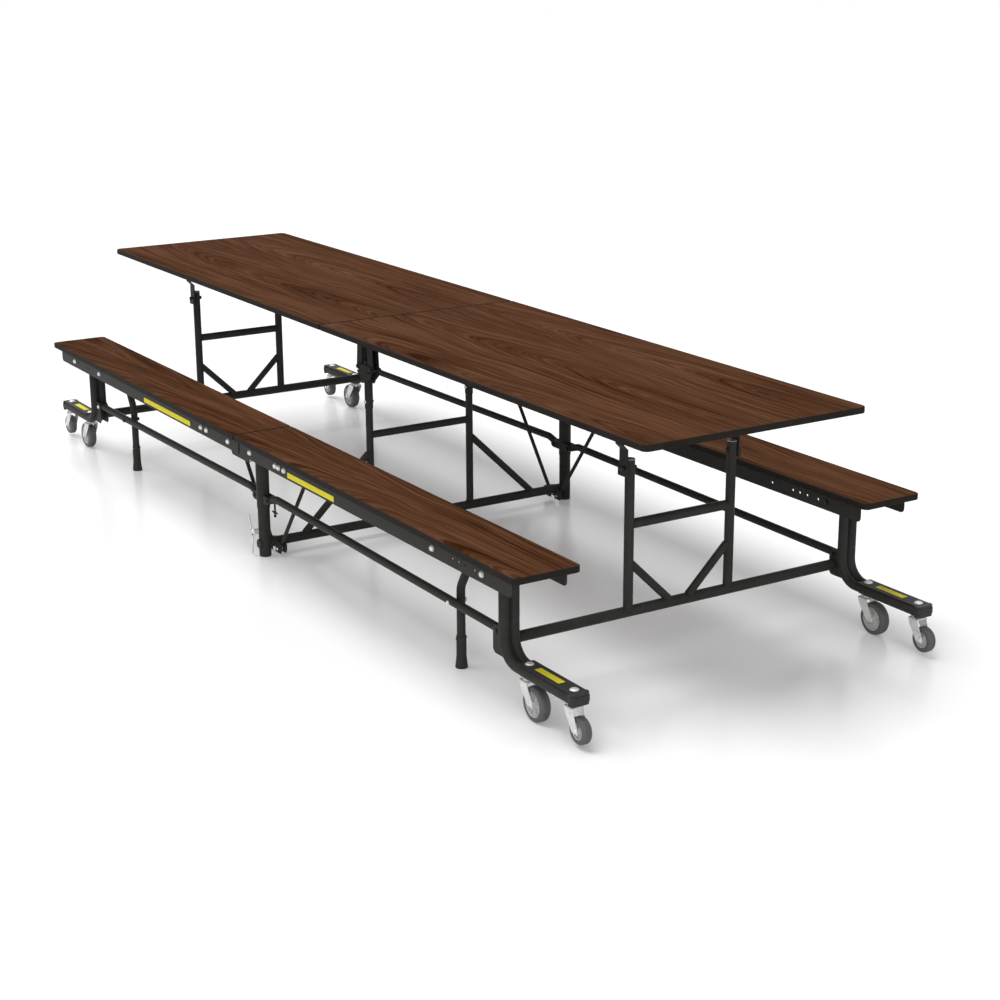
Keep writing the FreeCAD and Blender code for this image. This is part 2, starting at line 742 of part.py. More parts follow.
def latch_stud():
    """Stud that the latch lever turns on, on the outside of the left post."""
    start = post_y + post_tube_r - 2.0
    end = post_y + post_tube_r + latch_standoff
    far_end = end + latch_thickness + 2.0 * side_gap
    stud = rod_y(latch_x, latch_z, latch_stud_r, start, far_end)
    collar = rod_y(latch_x, latch_z, latch_stud_r + 3.0, start, end)
    head = dome_y(latch_x, latch_z, latch_stud_r + 2.0, small_head_height, far_end)
    whole = fuse_all([stud, collar, head])
    whole = whole.cut(rod_z(0, post_y, post_tube_r, latch_z - 30.0, latch_z + 30.0))
    return mirror_side(max(whole.Solids, key=lambda solid: solid.Volume))


def centre_bolts():
    """Pivot bolts of the links and table halves, height bolts and the latch stud."""
    link_bolt = through_bolt(frame_pivot_x, link_pivot_z, shaft_r, bracket_inner_y,
                             bracket_outer_y + link_bracket_thickness, pivot_head_r, pivot_head_height)
    table_bolt = through_bolt(frame_pivot_x, table_pivot_z, shaft_r, clevis_low_y,
                              clevis_high_y + clevis_thickness, pivot_head_r, pivot_head_height)
    height_z = table_pivot_z + upright_top_rise - height_sleeve_length + 24.0
    nub_out = dome_y(0, height_z, small_head_r, small_head_height, centre_upright_y + height_sleeve_r - 1.0)
    nub_in = dome_y(0, height_z, small_head_r, small_head_height, height_sleeve_r - centre_upright_y - 1.0)
    nubs = [nub_out.cut(rod_z(0, centre_upright_y, height_sleeve_r, height_z - 20.0, height_z + 20.0)),
            mirror_side(nub_in.cut(rod_z(0, -centre_upright_y, height_sleeve_r,
                                         height_z - 20.0, height_z + 20.0)))]
    pivots = [link_bolt, table_bolt]
    return both_sides(pivots + [mirror_half(bolt) for bolt in pivots] + nubs) + [latch_stud()]


def base_brackets():
    """Catch plates beside the foot of each post that the lock rods drop into, with a roller on a pin."""
    reach = lock_rod_r + base_plate_gap
    x0 = cross_tube_r - 4.0
    x1 = lock_rod_foot_x + base_plate_reach
    outline = [(x0, base_plate_low_z), (x1 - base_plate_chamfer, base_plate_low_z),
               (x1, base_plate_nose_low_z), (x1, base_plate_nose_high_z), (x0, base_plate_high_z)]
    inner_y = lock_rod_y - reach
    outer_y = lock_rod_y + reach
    parts = []
    for y0 in (inner_y - base_plate_thickness, outer_y):
        y1 = y0 + base_plate_thickness
        plate = plate_xz(outline, y0, y1).cut(rod_y(0, centre_cross_z, cross_tube_r, y0, y1))
        plate = max(plate.Solids, key=lambda solid: solid.Volume)
        parts.append(plate.cut(rod_y(catch_pin_x, catch_pin_z, catch_pin_r + running_gap, y0, y1)))
    plate_far = outer_y + base_plate_thickness
    parts.append(fuse_all([rod_y(catch_pin_x, catch_pin_z, catch_roller_r, inner_y, outer_y),
                           rod_y(catch_pin_x, catch_pin_z, catch_pin_r, inner_y - base_plate_thickness,
                                 plate_far + small_head_height / 2.0),
                           dome_y(catch_pin_x, catch_pin_z, small_head_r, small_head_height, plate_far)]))
    near = both_sides(parts)
    return near + [mirror_half(part) for part in near]


def latch_lever():
    """Pressed lever with a ring round its stud, a finger above and a pointed blade below."""
    y0 = post_y + post_tube_r + latch_standoff + side_gap
    y1 = y0 + latch_thickness
    tip_z = latch_z - latch_blade
    blade = plate_xz([(latch_x - 11.0, latch_z), (latch_x - 20.0, latch_z - 40.0), (latch_x - 14.0, tip_z),
                      (latch_x - 9.0, tip_z), (latch_x - 2.0, latch_z - 40.0), (latch_x + 8.0, latch_z)],
                     y0, y1)
    finger = plate_xz([(latch_x - 12.0, latch_z), (latch_x - 34.0, latch_z + latch_finger),
                       (latch_x - 27.0, latch_z + latch_finger), (latch_x - 1.0, latch_z)], y0, y1)
    ring = rod_y(latch_x, latch_z, latch_ring_r, y0, y1)
    lever = fuse_all([ring, blade, finger])
    return mirror_side(lever.cut(rod_y(latch_x, latch_z, latch_stud_r + running_gap, y0, y1)))


# ---- Lower links and lock rods -------------------------------------------------------------------
def lower_link(has_mid_leg):
    """Tube from the post to the end leg, cranked down at the post, with an eye at each end."""
    points = [(frame_pivot_x, link_pivot_z), (link_crank_x, link_pivot_z + link_crank_rise),
              (end_frame_x, link_pivot_z)]
    outer = bent_rod(points, tube_r, link_bend_r, leg_y)
    inner = bent_rod(points, tube_r - tube_wall, link_bend_r, leg_y)
    y0 = leg_y - tube_r
    y1 = leg_y + tube_r
    link = with_eyes(outer.cut(inner), [points[0], points[-1]], leg_y)
    for x in (frame_pivot_x, end_frame_x):
        link = link.cut(rod_y(x, link_pivot_z, shaft_r + running_gap, y0, y1))
    if has_mid_leg:
        link = link.cut(rod_y(mid_link_x, link_pivot_z, leg_bolt_r + running_gap, y0, y1))
    return link


def lock_rod():
    """Thin rod from its lug under the bench down to the catch at the foot of the post."""
    top = V(lock_rod_top_x, lock_rod_y, lock_rod_top_z)
    foot = V(lock_rod_foot_x, lock_rod_y, lock_rod_foot_z)
    run = foot - top
    shank = Part.makeCylinder(lock_rod_r, run.Length, top, run)
    near_face = lock_rod_y - lock_eye_half
    far_face = lock_rod_y + lock_eye_half
    eye = rod_y(lock_rod_top_x, lock_rod_top_z, lock_eye_r, near_face, far_face)
    rod = fuse_all([shank, eye])
    return rod.cut(rod_y(lock_rod_top_x, lock_rod_top_z, leg_bolt_r + running_gap, near_face, far_face))


# ---- End frame -----------------------------------------------------------------------------------
def end_truss():
    """Cross tube, uprights, crossbar and V braces of one end frame."""
    x = end_frame_x
    reach = bracket_inner_y
    cross_solid = rod_y(x, end_cross_z, cross_tube_r, -reach, reach)
    cross = tube_y(x, end_cross_z, cross_tube_r, cross_tube_wall, -reach, reach)
    top = table_pivot_z + end_upright_top_rise
    upright_solid = rod_z(x, end_upright_y, leg_tube_r, end_cross_z, top)
    upright = tube_z(x, end_upright_y, leg_tube_r, tube_wall, end_cross_z, top).cut(cross_solid)
    bolt_hole = rod_y(x, table_pivot_z, shaft_r + running_gap, 0, table_width / 2.0)
    upright = upright.cut(bolt_hole)
    bar = tube_y(x, end_crossbar_z, leg_tube_r, tube_wall, -end_upright_y, end_upright_y)
    bar = bar.cut(upright_solid).cut(mirror_side(upright_solid))
    bar = max(bar.Solids, key=lambda solid: solid.Volume)
    brace = slanted_tube(V(x, end_upright_y, end_brace_top_z), V(x, end_brace_foot_y, end_cross_z),
                         brace_r, tube_wall)
    brace = brace.cut(upright_solid).cut(cross_solid)
    brace = max(brace.Solids, key=lambda solid: solid.Volume)
    return [cross, bar] + both_sides([upright, brace])


def leg_web_strip():
    """Flat strip between the two leg tubes, down the leg and round its bend to the first stem."""
    top = bench_pivot_z - leg_web_drop
    stop = inner_stem_x - stem_r - leg_web
    path = bend_path([(end_leg_x, top), (end_leg_x, arm_axis_z), (stop, arm_axis_z)], leg_bend_r, leg_y)
    half = leg_web / 2.0
    reach = leg_tube_spacing / 2.0
    corners = [V(end_leg_x + x, leg_y + y, top) for x, y in ((-half, -reach), (half, -reach),
                                                             (half, reach), (-half, reach), (-half, -reach))]
    return path.makePipeShell([Part.makePolygon(corners)], True, False)


def link_bracket(y0):
    """Plate on one leg that carries the outer end of the lower link."""
    y1 = y0 + link_bracket_thickness
    low = link_pivot_z - link_bracket_drop
    back = end_frame_x - link_bracket_r
    outline = [(back, link_pivot_z), (back, low + link_bracket_heel), (back + link_bracket_heel, low),
               (end_leg_x, low), (end_leg_x, link_pivot_z + link_bracket_r),
               (end_frame_x, link_pivot_z + link_bracket_r), (end_frame_x, link_pivot_z)]
    return fuse_all([plate_xz(outline, y0, y1), rod_y(end_frame_x, link_pivot_z, link_bracket_r, y0, y1)])


def s_leg():
    """Two bent tubes, the web between them and the bracket of the link, welded into one leg."""
    top = bench_pivot_z + leg_top_rise
    points = [(end_leg_x, top), (end_leg_x, arm_axis_z), (arm_tube_end, arm_axis_z)]
    outer = [bent_rod(points, leg_tube_r, leg_bend_r, y) for y in leg_tube_y]
    inner = [bent_rod(points, leg_tube_r - tube_wall, leg_bend_r, y) for y in leg_tube_y]
    brackets = [link_bracket(y0) for y0 in (bracket_inner_y, bracket_outer_y)]
    leg = fuse_all(outer + [leg_web_strip()] + brackets)
    for bore in inner:
        leg = leg.cut(bore)
    leg = leg.cut(rod_y(end_leg_x, bench_pivot_z, shaft_r + running_gap, 0, bench_outer))
    leg = leg.cut(rod_y(end_frame_x, link_pivot_z, shaft_r + running_gap, 0, bench_outer))
    for x in (inner_stem_x, outer_stem_x):
        leg = leg.cut(rod_z(x, leg_y, stem_r + running_gap, arm_bottom_z, arm_top_z))
    return max(leg.Solids, key=lambda solid: solid.Volume)


def arm_plates():
    """Cover plate over the arm and narrower pad under it, bored for the caster stems."""
    plates = []
    for z0, width in ((arm_axis_z + leg_tube_r, arm_plate_width), (arm_bottom_z, arm_pad_width)):
        z1 = z0 + arm_plate_thickness
        plate = box(arm_plate_start, arm_tube_end, leg_y - width / 2.0, leg_y + width / 2.0, z0, z1)
        for x in (inner_stem_x, outer_stem_x):
            plate = plate.cut(rod_z(x, leg_y, stem_r + running_gap, z0, z1))
        plates.append(plate)
    return plates


def cap_block(inset):
    """Block of the arm cap with rounded outer corners, drawn in at its sides by an inset."""
    half = leg_tube_spacing / 2.0 + leg_tube_r - inset
    return rounded_board(arm_tube_end, arm_tube_end + arm_cap_length - inset, leg_y - half, leg_y + half,
                         arm_bottom_z, arm_top_z, arm_cap_round, arm_cap_corner)


def arm_cap():
    """Plastic cap on the end of the arm, with shallow grooves round it."""
    cap = cap_block(0.0)
    rims = [edge for edge in cap.Edges if edge.BoundBox.ZLength < 1e-6]
    cap = cap.makeFillet(arm_cap_round * 0.9, rims)
    core = cap_block(arm_cap_groove)
    pitch = (arm_top_z - arm_bottom_z) / 4.0
    for rib in (1, 2, 3):
        z = arm_bottom_z + pitch * rib
        layer = box(arm_tube_end, arm_tube_end + arm_cap_length, leg_y - arm_plate_width,
                    leg_y + arm_plate_width, z - arm_cap_groove / 2.0, z + arm_cap_groove / 2.0)
        cap = cap.cut(layer.cut(core))
    return cap


def frame_bolts():
    """Pivot bolts of the end frame and the domes over the caster stems."""
    table_bolt = through_bolt(end_frame_x, table_pivot_z, shaft_r, end_upright_y - leg_tube_r,
                              end_arm_y + table_arm_thickness + table_arm_boss + side_gap,
                              pivot_head_r, pivot_head_height)
    link_bolt = through_bolt(end_frame_x, link_pivot_z, shaft_r, bracket_inner_y,
                             bracket_outer_y + link_bracket_thickness, pivot_head_r, pivot_head_height)
    domes = []
    for x in (inner_stem_x, outer_stem_x):
        dome = rod_z(x, leg_y, dome_r, arm_top_z, arm_top_z + dome_height)
        rim = [edge for edge in dome.Edges if edge.BoundBox.ZMin > arm_top_z + dome_height - 1e-6]
        domes.append(dome.makeFillet(dome_height * 0.8, rim))
    return both_sides([table_bolt, link_bolt] + domes)


# ---- Intermediate legs ---------------------------------------------------------------------------
def mid_leg():
    """Bent leg tube with an eye at the top and the height sleeve over its lower end."""
    points = [(mid_pivot_x, bench_pivot_z), (mid_pivot_x, mid_leg_shoulder_z),
              (mid_link_x, mid_leg_knee_z), (mid_link_x, foot_height)]
    outer = bent_rod(points, tube_r, mid_leg_bend_r, mid_leg_y)
    inner = bent_rod(points, tube_r - tube_wall, mid_leg_bend_r, mid_leg_y)
    y0 = mid_leg_y - tube_r
    y1 = mid_leg_y + tube_r
    leg = with_eyes(outer.cut(inner), [points[0]], mid_leg_y)
    leg = leg.cut(rod_y(mid_pivot_x, bench_pivot_z, shaft_r + running_gap, y0, y1))
    leg = leg.cut(rod_y(mid_link_x, link_pivot_z, leg_bolt_r + running_gap, y0, y1))
    sleeve = tube_z(mid_link_x, mid_leg_y, mid_sleeve_r, mid_sleeve_r - tube_r - running_gap,
                    foot_height, mid_sleeve_top_z)
    return [leg, sleeve]


def mid_foot():
    """Flared rubber foot."""
    cone = Part.makeCone(foot_bottom_r, mid_sleeve_r, foot_height, V(mid_link_x, mid_leg_y, 0), V(0, 0, 1))
    rim = [edge for edge in cone.Edges if edge.BoundBox.ZMax < 1e-6]
    return cone.makeFillet(foot_round, rim)


def leg_bolts():
    """Bolt from the intermediate leg through the link, and the height bolts of the sleeve."""
    bolt = through_bolt(mid_link_x, link_pivot_z, leg_bolt_r, mid_leg_y - tube_r, leg_y + tube_r + side_gap,
                        small_head_r + 1.0, small_head_height)
    spacer = rod_y(mid_link_x, link_pivot_z, leg_bolt_r + 3.0, mid_leg_y + tube_r + side_gap,
                   leg_y - tube_r - side_gap)
    height_z = mid_sleeve_top_z - mid_sleeve_bolt_drop
    nub = dome_y(mid_link_x, height_z, small_head_r - 1.0, small_head_height, mid_leg_y + mid_sleeve_r - 1.0)
    nub = nub.cut(rod_z(mid_link_x, mid_leg_y, mid_sleeve_r, height_z - 2.0 * small_head_r,
                        height_z + 2.0 * small_head_r))
    twin = nub.mirror(V(0, mid_leg_y, 0), V(0, 1, 0))
    return [fuse_all([bolt, spacer]), nub, twin]


# ---- Casters -------------------------------------------------------------------------------------
def caster_fork(stem_x, trail, axle_z, wheel_width):
    """Swivel fork: stem, ball race, crown, two tapered legs and the axle."""
    race_top = arm_bottom_z - side_gap
    crown_top = race_top - race_height
    crown_low = crown_top - fork_thickness
    half = wheel_width / 2.0 + fork_gap
    outer = half + fork_thickness
    axle_x = stem_x + trail
    stem = rod_z(stem_x, leg_y, stem_r, race_top, arm_top_z - side_gap)
    race = rod_z(stem_x, leg_y, race_r, crown_top, race_top)
    crown = box(stem_x - race_r, stem_x + race_r, leg_y - outer, leg_y + outer, crown_low, crown_top)
    parts = [stem, race, crown]
    for y0 in (leg_y - outer, leg_y + half):
        y1 = y0 + fork_thickness
        leg = plate_xz([(stem_x - race_r, crown_top), (axle_x - fork_foot_r, axle_z),
                        (axle_x + fork_foot_r, axle_z), (stem_x + race_r, crown_top)], y0, y1)
        parts.append(leg)
        parts.append(rod_y(axle_x, axle_z, fork_foot_r, y0, y1))
    parts.append(rod_y(axle_x, axle_z, axle_r, leg_y - outer, leg_y + outer))
    parts.append(dome_y(axle_x, axle_z, 7.0, small_head_height, leg_y + outer))
    parts.append(hex_y(axle_x, axle_z, 7.5, leg_y - outer - 4.0, leg_y - outer))
    return fuse_all(parts)


def caster_wheel(stem_x, trail, axle_z, radius, width):
    """Hub with a raised boss, and the rubber tyre round it."""
    x = stem_x + trail
    y0 = leg_y - width / 2.0
    y1 = leg_y + width / 2.0
    seat = radius - tyre_depth
    tyre = rod_y(x, axle_z, radius, y0, y1).cut(rod_y(x, axle_z, seat, y0, y1))
    rims = []
    for edge in tyre.Edges:
        if edge.BoundBox.XLength > 2.0 * radius - 1.0:
            rims.append(edge)
    tyre = tyre.makeFillet(width * 0.22, rims)
    recess = width * 0.28
    hub = rod_y(x, axle_z, seat, y0 + 2.0, y1 - 2.0)
    for start, end in ((y0 + 2.0, y0 + recess), (y1 - recess, y1 - 2.0)):
        ring = rod_y(x, axle_z, seat - 4.0, start, end).cut(rod_y(x, axle_z, axle_r + 7.0, start, end))
        hub = hub.cut(ring)
    hub = hub.fuse(rod_y(x, axle_z, axle_r + 5.0, y0 - fork_gap + 0.5, y1 + fork_gap - 0.5))
    hub = hub.removeSplitter()
    hub = hub.cut(rod_y(x, axle_z, axle_r + running_gap, y0 - fork_gap, y1 + fork_gap))
    return [tyre, hub]


casters = {
    "inner": (inner_stem_x, inner_trail, inner_wheel_r, inner_wheel_r, inner_wheel_width),
    "outer": (outer_stem_x, outer_trail, outer_wheel_r + outer_wheel_lift, outer_wheel_r, outer_wheel_width),
}


# ---- Nodes ---------------------------------------------------------------------------------------
def export(name, shapes):
    """Write one node, a group of separate solids where it has more than one."""
    solids = [solid for shape in shapes for solid in shape.Solids]
    whole = solids[0] if len(solids) == 1 else Part.makeCompound(solids)
    whole.exportStep("parts/" + name + ".step")


def export_centre():
    """Pieces of the centre frame and the latch lever."""
    export("centre_posts", centre_posts())
    export("centre_truss", centre_truss())
    export("centre_brackets", centre_brackets())
    export("centre_bolts", centre_bolts())
    export("base_brackets", base_brackets())
    export("latch_lever", [latch_lever()])


def export_half(half, flip, extra_bolts):
    """Every piece of one half of the table."""
    bench = bench_board_limits()
    groups = {
        "table_top": [board_core(*table_board_limits())],
        "table_edge": [board_edge(*table_board_limits())],
        "table_frame": table_frame(),
        "bench_edges": both_sides([board_edge(*bench)]),
        "bench_bolts": bench_bolts(extra_bolts),
        "links": [lower_link(False), mirror_side(lower_link(True))],
        "end_truss": end_truss(),
        "arm_caps": both_sides([arm_cap()]),
        "frame_bolts": frame_bolts(),
        "mid_leg": [mirror_side(shape) for shape in mid_leg()],
        "mid_foot": [mirror_side(mid_foot())],
        "leg_bolts": [mirror_side(shape) for shape in leg_bolts()],
        "lock_rods": both_sides([lock_rod()]),
        "bench_rails_right": bench_rails(False),
        "bench_rails_left": [mirror_side(shape) for shape in bench_rails(True)],
    }
    one_side = {
        "bench_board": [board_core(*bench)],
        "s_leg": [s_leg()] + arm_plates(),
    }
    for place, (stem_x, trail, axle_z, radius, width) in casters.items():
        one_side[place + "_fork"] = [caster_fork(stem_x, trail, axle_z, width)]
        one_side[place + "_wheel"] = caster_wheel(stem_x, trail, axle_z, radius, width)
    for name, shapes in groups.items():
        export(half + "_" + name, [flip(shape) for shape in shapes])
    for name, shapes in one_side.items():
        export(half + "_" + name + "_right", [flip(shape) for shape in shapes])
        export(half + "_" + name + "_left", [flip(mirror_side(shape)) for shape in shapes])


def unchanged(shape):
    """The near half is drawn where it stands."""
    return shape


def main():
    """Write every node of the table."""
    os.makedirs("parts", exist_ok=True)
    export_centre()
    export_half("near", unchanged, near_extra_bolts)
    export_half("far", mirror_half, far_extra_bolts)


main()
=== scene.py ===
"""Looks of a folding cafeteria table with benches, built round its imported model.

Every piece is in metres in the model's own frame: X along the table, the near half at +X, Y across it
with the right bench at +Y, and Z up from the floor. Pieces are shaped in the near right quarter and
reflected into their own half and side.
"""

import logging
import math
from dataclasses import dataclass
from enum import Enum
from typing import Callable, Iterable, Sequence

import bmesh
import bpy
from bmesh.types import BMEdge, BMFace, BMVert
from bpy.types import Material, Node, NodeSocket, NodeTree, Object
from mathutils import Matrix, Vector


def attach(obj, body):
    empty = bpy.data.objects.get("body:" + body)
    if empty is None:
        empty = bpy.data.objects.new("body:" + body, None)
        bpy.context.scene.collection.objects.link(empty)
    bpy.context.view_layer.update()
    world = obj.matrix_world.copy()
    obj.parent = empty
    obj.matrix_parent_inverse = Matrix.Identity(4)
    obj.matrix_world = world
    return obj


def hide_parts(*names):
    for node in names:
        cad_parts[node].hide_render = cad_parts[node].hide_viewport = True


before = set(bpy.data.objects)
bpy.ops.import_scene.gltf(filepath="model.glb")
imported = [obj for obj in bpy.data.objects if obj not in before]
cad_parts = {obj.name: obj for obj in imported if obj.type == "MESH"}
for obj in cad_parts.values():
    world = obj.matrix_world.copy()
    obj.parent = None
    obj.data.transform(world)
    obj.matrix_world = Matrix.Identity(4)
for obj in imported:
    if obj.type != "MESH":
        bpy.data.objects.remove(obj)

log = logging.getLogger("cafeteria_table")

ROUND_STEPS = 32
SMALL_STEPS = 20
SHARP_ANGLE = math.radians(38.0)
WELD_DISTANCE = 1e-6
OVERLAP = 0.001
BEND_STEP = 6.0
UP = (0.0, 0.0, 1.0)
OUTBOARD = (0.0, 1.0, 0.0)
INBOARD = (0.0, -1.0, 0.0)
Point = tuple[float, float, float]
Flat = tuple[float, float]
Rounds = float | Sequence[float]


class Half(Enum):
    """Which half of the table a piece is on."""

    NEAR = "near"
    FAR = "far"

    @property
    def sign(self) -> int:
        """Direction of this half along X."""
        return 1 if self is Half.NEAR else -1


class Side(Enum):
    """Which bench a piece is under."""

    LEFT = "left"
    RIGHT = "right"

    @property
    def sign(self) -> int:
        """Direction of this side along Y."""
        return 1 if self is Side.RIGHT else -1


class CasterPlace(Enum):
    """Which of an arm's two casters."""

    INNER = "inner"
    OUTER = "outer"


@dataclass(frozen=True)
class Layout:
    """Sizes that several sub-assemblies share."""

    table_height: float = 0.768
    bench_height: float = 0.436
    board: float = 0.019
    bench_pivot_x: float = 0.085
    frame_pivot_x: float = 0.045
    arm_span: float = 1.445
    mid_span: float = 1.182
    bench_pivot_z: float = 0.392
    table_pivot_z: float = 0.598
    link_z: float = 0.205
    tube: float = 0.0127
    wall: float = 0.0018
    cross_tube: float = 0.016
    cross_wall: float = 0.002
    leg_tube: float = 0.0143
    brace: float = 0.012
    rod: float = 0.0065
    rod_eye: float = 0.007
    post_y: float = 0.610
    leg_y: float = 0.605
    mid_y: float = 0.575
    rod_y: float = 0.567
    outer_rail: float = 0.690
    inner_rail: float = 0.516
    rail_gauge: float = 0.0025
    slide: float = 0.0003
    pivot_head: Flat = (0.0075, 0.004)
    bolt: float = 0.006
    small_bolt: float = 0.004
    bore_slack: float = 0.00005
    link_eye: float = 0.0137
    link_eye_half: float = 0.0122
    rod_top: Flat = (0.300, 0.390)
    rod_foot: Flat = (0.038, 0.040)
    stems: Flat = (1.632, 1.844)
    strip_border: float = 0.0012
    border_thickness: float = 0.0002
    strip_thickness: float = 0.0004

    @property
    def link_gap(self) -> float:
        """Half the gap that takes a link or an intermediate leg."""
        return self.tube + self.slide

    @property
    def table_under(self) -> float:
        """Underside of the table board."""
        return self.table_height - self.board

    @property
    def bench_under(self) -> float:
        """Underside of the bench boards."""
        return self.bench_height - self.board

    @property
    def end_frame_x(self) -> float:
        """Plane of the end frame."""
        return self.frame_pivot_x + self.arm_span

    @property
    def end_leg_x(self) -> float:
        """Upright part of the legs with casters."""
        return self.bench_pivot_x + self.arm_span

    @property
    def mid_pivot_x(self) -> float:
        """Top of the intermediate leg."""
        return self.bench_pivot_x + self.mid_span

    @property
    def mid_link_x(self) -> float:
        """Lower part of the intermediate leg."""
        return self.frame_pivot_x + self.mid_span


LAYOUT = Layout()


def aimed(along: Point | Vector) -> Matrix:
    """Turn that takes local Z to a direction.

    Args:
        along: The direction.

    Returns:
        The turn, as a 4 by 4 matrix.
    """
    return Vector(along).to_track_quat("Z", "Y").to_matrix().to_4x4()


def upright_box(x: Flat, y: float, z: Flat) -> list[Point]:
    """Corner points of an upright rectangle along the table.

    Args:
        x: Where it begins and ends along the table.
        y: Its place across the table.
        z: Its lowest and highest level.

    Returns:
        The corners, from the low start round to the high one.
    """
    return [(x[0], y, z[0]), (x[1], y, z[0]), (x[1], y, z[1]), (x[0], y, z[1])]


def level_box(x: Flat, y: Flat, z: float) -> list[Point]:
    """Corner points of a level rectangle.

    Args:
        x: Where it begins and ends along the table.
        y: Where it begins and ends across the table.
        z: Its level.

    Returns:
        The corners, from the first round to the last.
    """
    return [(x[0], y[0], z), (x[1], y[0], z), (x[1], y[1], z), (x[0], y[1], z)]


def upright(y: float, *points: Flat) -> list[Point]:
    """Points of an upright plane along the table, from places along it and heights."""
    return [(x, y, z) for x, z in points]


def about(middle: float, reach: float) -> Flat:
    """Span that reaches as far on both sides of its middle."""
    return middle - reach, middle + reach


class Form:
    """A mesh in the making, shaped with bmesh operators."""

    def __init__(self) -> None:
        """Start with no geometry."""
        self.bm = bmesh.new()

    def _since(self, before: set[BMVert]) -> list[BMVert]:
        """Vertices made since a set was taken."""
        return [vert for vert in self.bm.verts if vert not in before]

    @staticmethod
    def _faces_of(verts: Iterable[BMVert]) -> list[BMFace]:
        """Faces that use some vertices."""
        return list(dict.fromkeys(face for vert in verts for face in vert.link_faces))

    @staticmethod
    def _edges_of(verts: Iterable[BMVert]) -> list[BMEdge]:
        """Edges that use some vertices."""
        return list(dict.fromkeys(edge for vert in verts for edge in vert.link_edges))

    def _bevel(self, geometry: list, width: float, affect: str, segments: int) -> None:
        """Round some edges, or the corners of a flat face.

        Args:
            geometry: Edges or vertices to round.
            width: Offset of the rounding.
            affect: EDGES or VERTICES.
            segments: Steps across the rounding.
        """
        bmesh.ops.bevel(self.bm, geom=geometry, offset=width, offset_type="OFFSET", affect=affect,
                        segments=segments, profile=0.5, material=-1, clamp_overlap=True)

    def _soften(self, before: set[BMVert], width: float, segments: int = 2) -> None:
        """Round the sharp edges of what was made last.

        Args:
            before: Vertices that were there already.
            width: Offset of the rounding, or 0 for none.
            segments: Steps across the rounding.
        """
        fresh = self._since(before)
        bmesh.ops.recalc_face_normals(self.bm, faces=self._faces_of(fresh))
        if width <= 0.0:
            return
        sharp = [edge for edge in self._edges_of(fresh)
                 if len(edge.link_faces) == 2 and edge.calc_face_angle(0.0) > SHARP_ANGLE]
        self._bevel(sharp, width, "EDGES", segments)

    def _advance(self, section: list[BMFace], step: Vector) -> list[BMFace]:
        """Extrude a section and move its front on.

        Args:
            section: Faces at the front.
            step: How far the front moves.

        Returns:
            The faces of the new front.
        """
        made = bmesh.ops.extrude_face_region(self.bm, geom=section)["geom"]
        front = [item for item in made if isinstance(item, BMFace)]
        verts = [item for item in made if isinstance(item, BMVert)]
        bmesh.ops.translate(self.bm, vec=step, verts=verts)
        return front

    def _swing(self, front: list[BMFace], centre: Vector, axis: Vector, turn: float) -> list[BMFace]:
        """Sweep a section round part of a circle.

        Args:
            front: Faces at the front.
            centre: Centre of the circle.
            axis: Its axis.
            turn: Angle swept.

        Returns:
            The faces of the new front.
        """
        geometry = front + list(dict.fromkeys(edge for face in front for edge in face.edges))
        geometry += dict.fromkeys(vert for face in front for vert in face.verts)
        spun = bmesh.ops.spin(self.bm, geom=geometry, cent=centre, axis=axis, dvec=Vector(), angle=turn,
                              steps=max(4, round(math.degrees(turn) / BEND_STEP)), use_merge=False,
                              use_duplicate=False)["geom_last"]
        return [item for item in spun if isinstance(item, BMFace)]

    def _section(self, at: Matrix, radius: float, wall: float, steps: int) -> list[BMFace]:
        """Disc, or ring where there is a wall, that a bar or tube starts from.

        Args:
            at: Place of the section, with its normal along local Z.
            radius: Outside radius.
            wall: Thickness of the wall, or 0 for a solid bar.
            steps: Corners round the section.

        Returns:
            The faces of the section.
        """
        outer = bmesh.ops.create_circle(self.bm, cap_ends=wall <= 0.0, segments=steps, radius=radius,
                                        matrix=at)["verts"]
        if wall <= 0.0:
            return self._faces_of(outer)
        inner = bmesh.ops.create_circle(self.bm, cap_ends=False, segments=steps, radius=radius - wall,
                                        matrix=at)["verts"]
        return bmesh.ops.bridge_loops(self.bm, edges=self._edges_of(outer + inner))["faces"]

    def tube(self, corners: Sequence[Point], radius: float, wall: float = 0.0, bend: float = 0.0,
             steps: int = ROUND_STEPS, soft: float = 0.0003) -> None:
        """Sweep a bar or tube along straight runs with a tangent arc at each corner.

        Args:
            corners: Points of the centre line.
            radius: Outside radius.
            wall: Thickness of the wall, or 0 for a solid bar.
            bend: Radius of the arcs.
            steps: Corners round the section.
            soft: Rounding of the end rims.
        """
        before = set(self.bm.verts)
        points = [Vector(corner) for corner in corners]
        here = points[0]
        heading = (points[1] - here).normalized()
        front = self._section(Matrix.Translation(here) @ aimed(heading), radius, wall, steps)
        for corner, after in zip(points[1:], points[2:]):
            leaving = (after - corner).normalized()
            turn = heading.angle(leaving)
            setback = bend * math.tan(turn / 2.0)
            arc_start = corner - heading * setback
            front = self._advance(front, arc_start - here)
            axis = heading.cross(leaving).normalized()
            front = self._swing(front, arc_start + axis.cross(heading) * bend, axis, turn)
            here = corner + leaving * setback
            heading = leaving
        self._advance(front, points[-1] - here)
        self._soften(before, soft, 1)

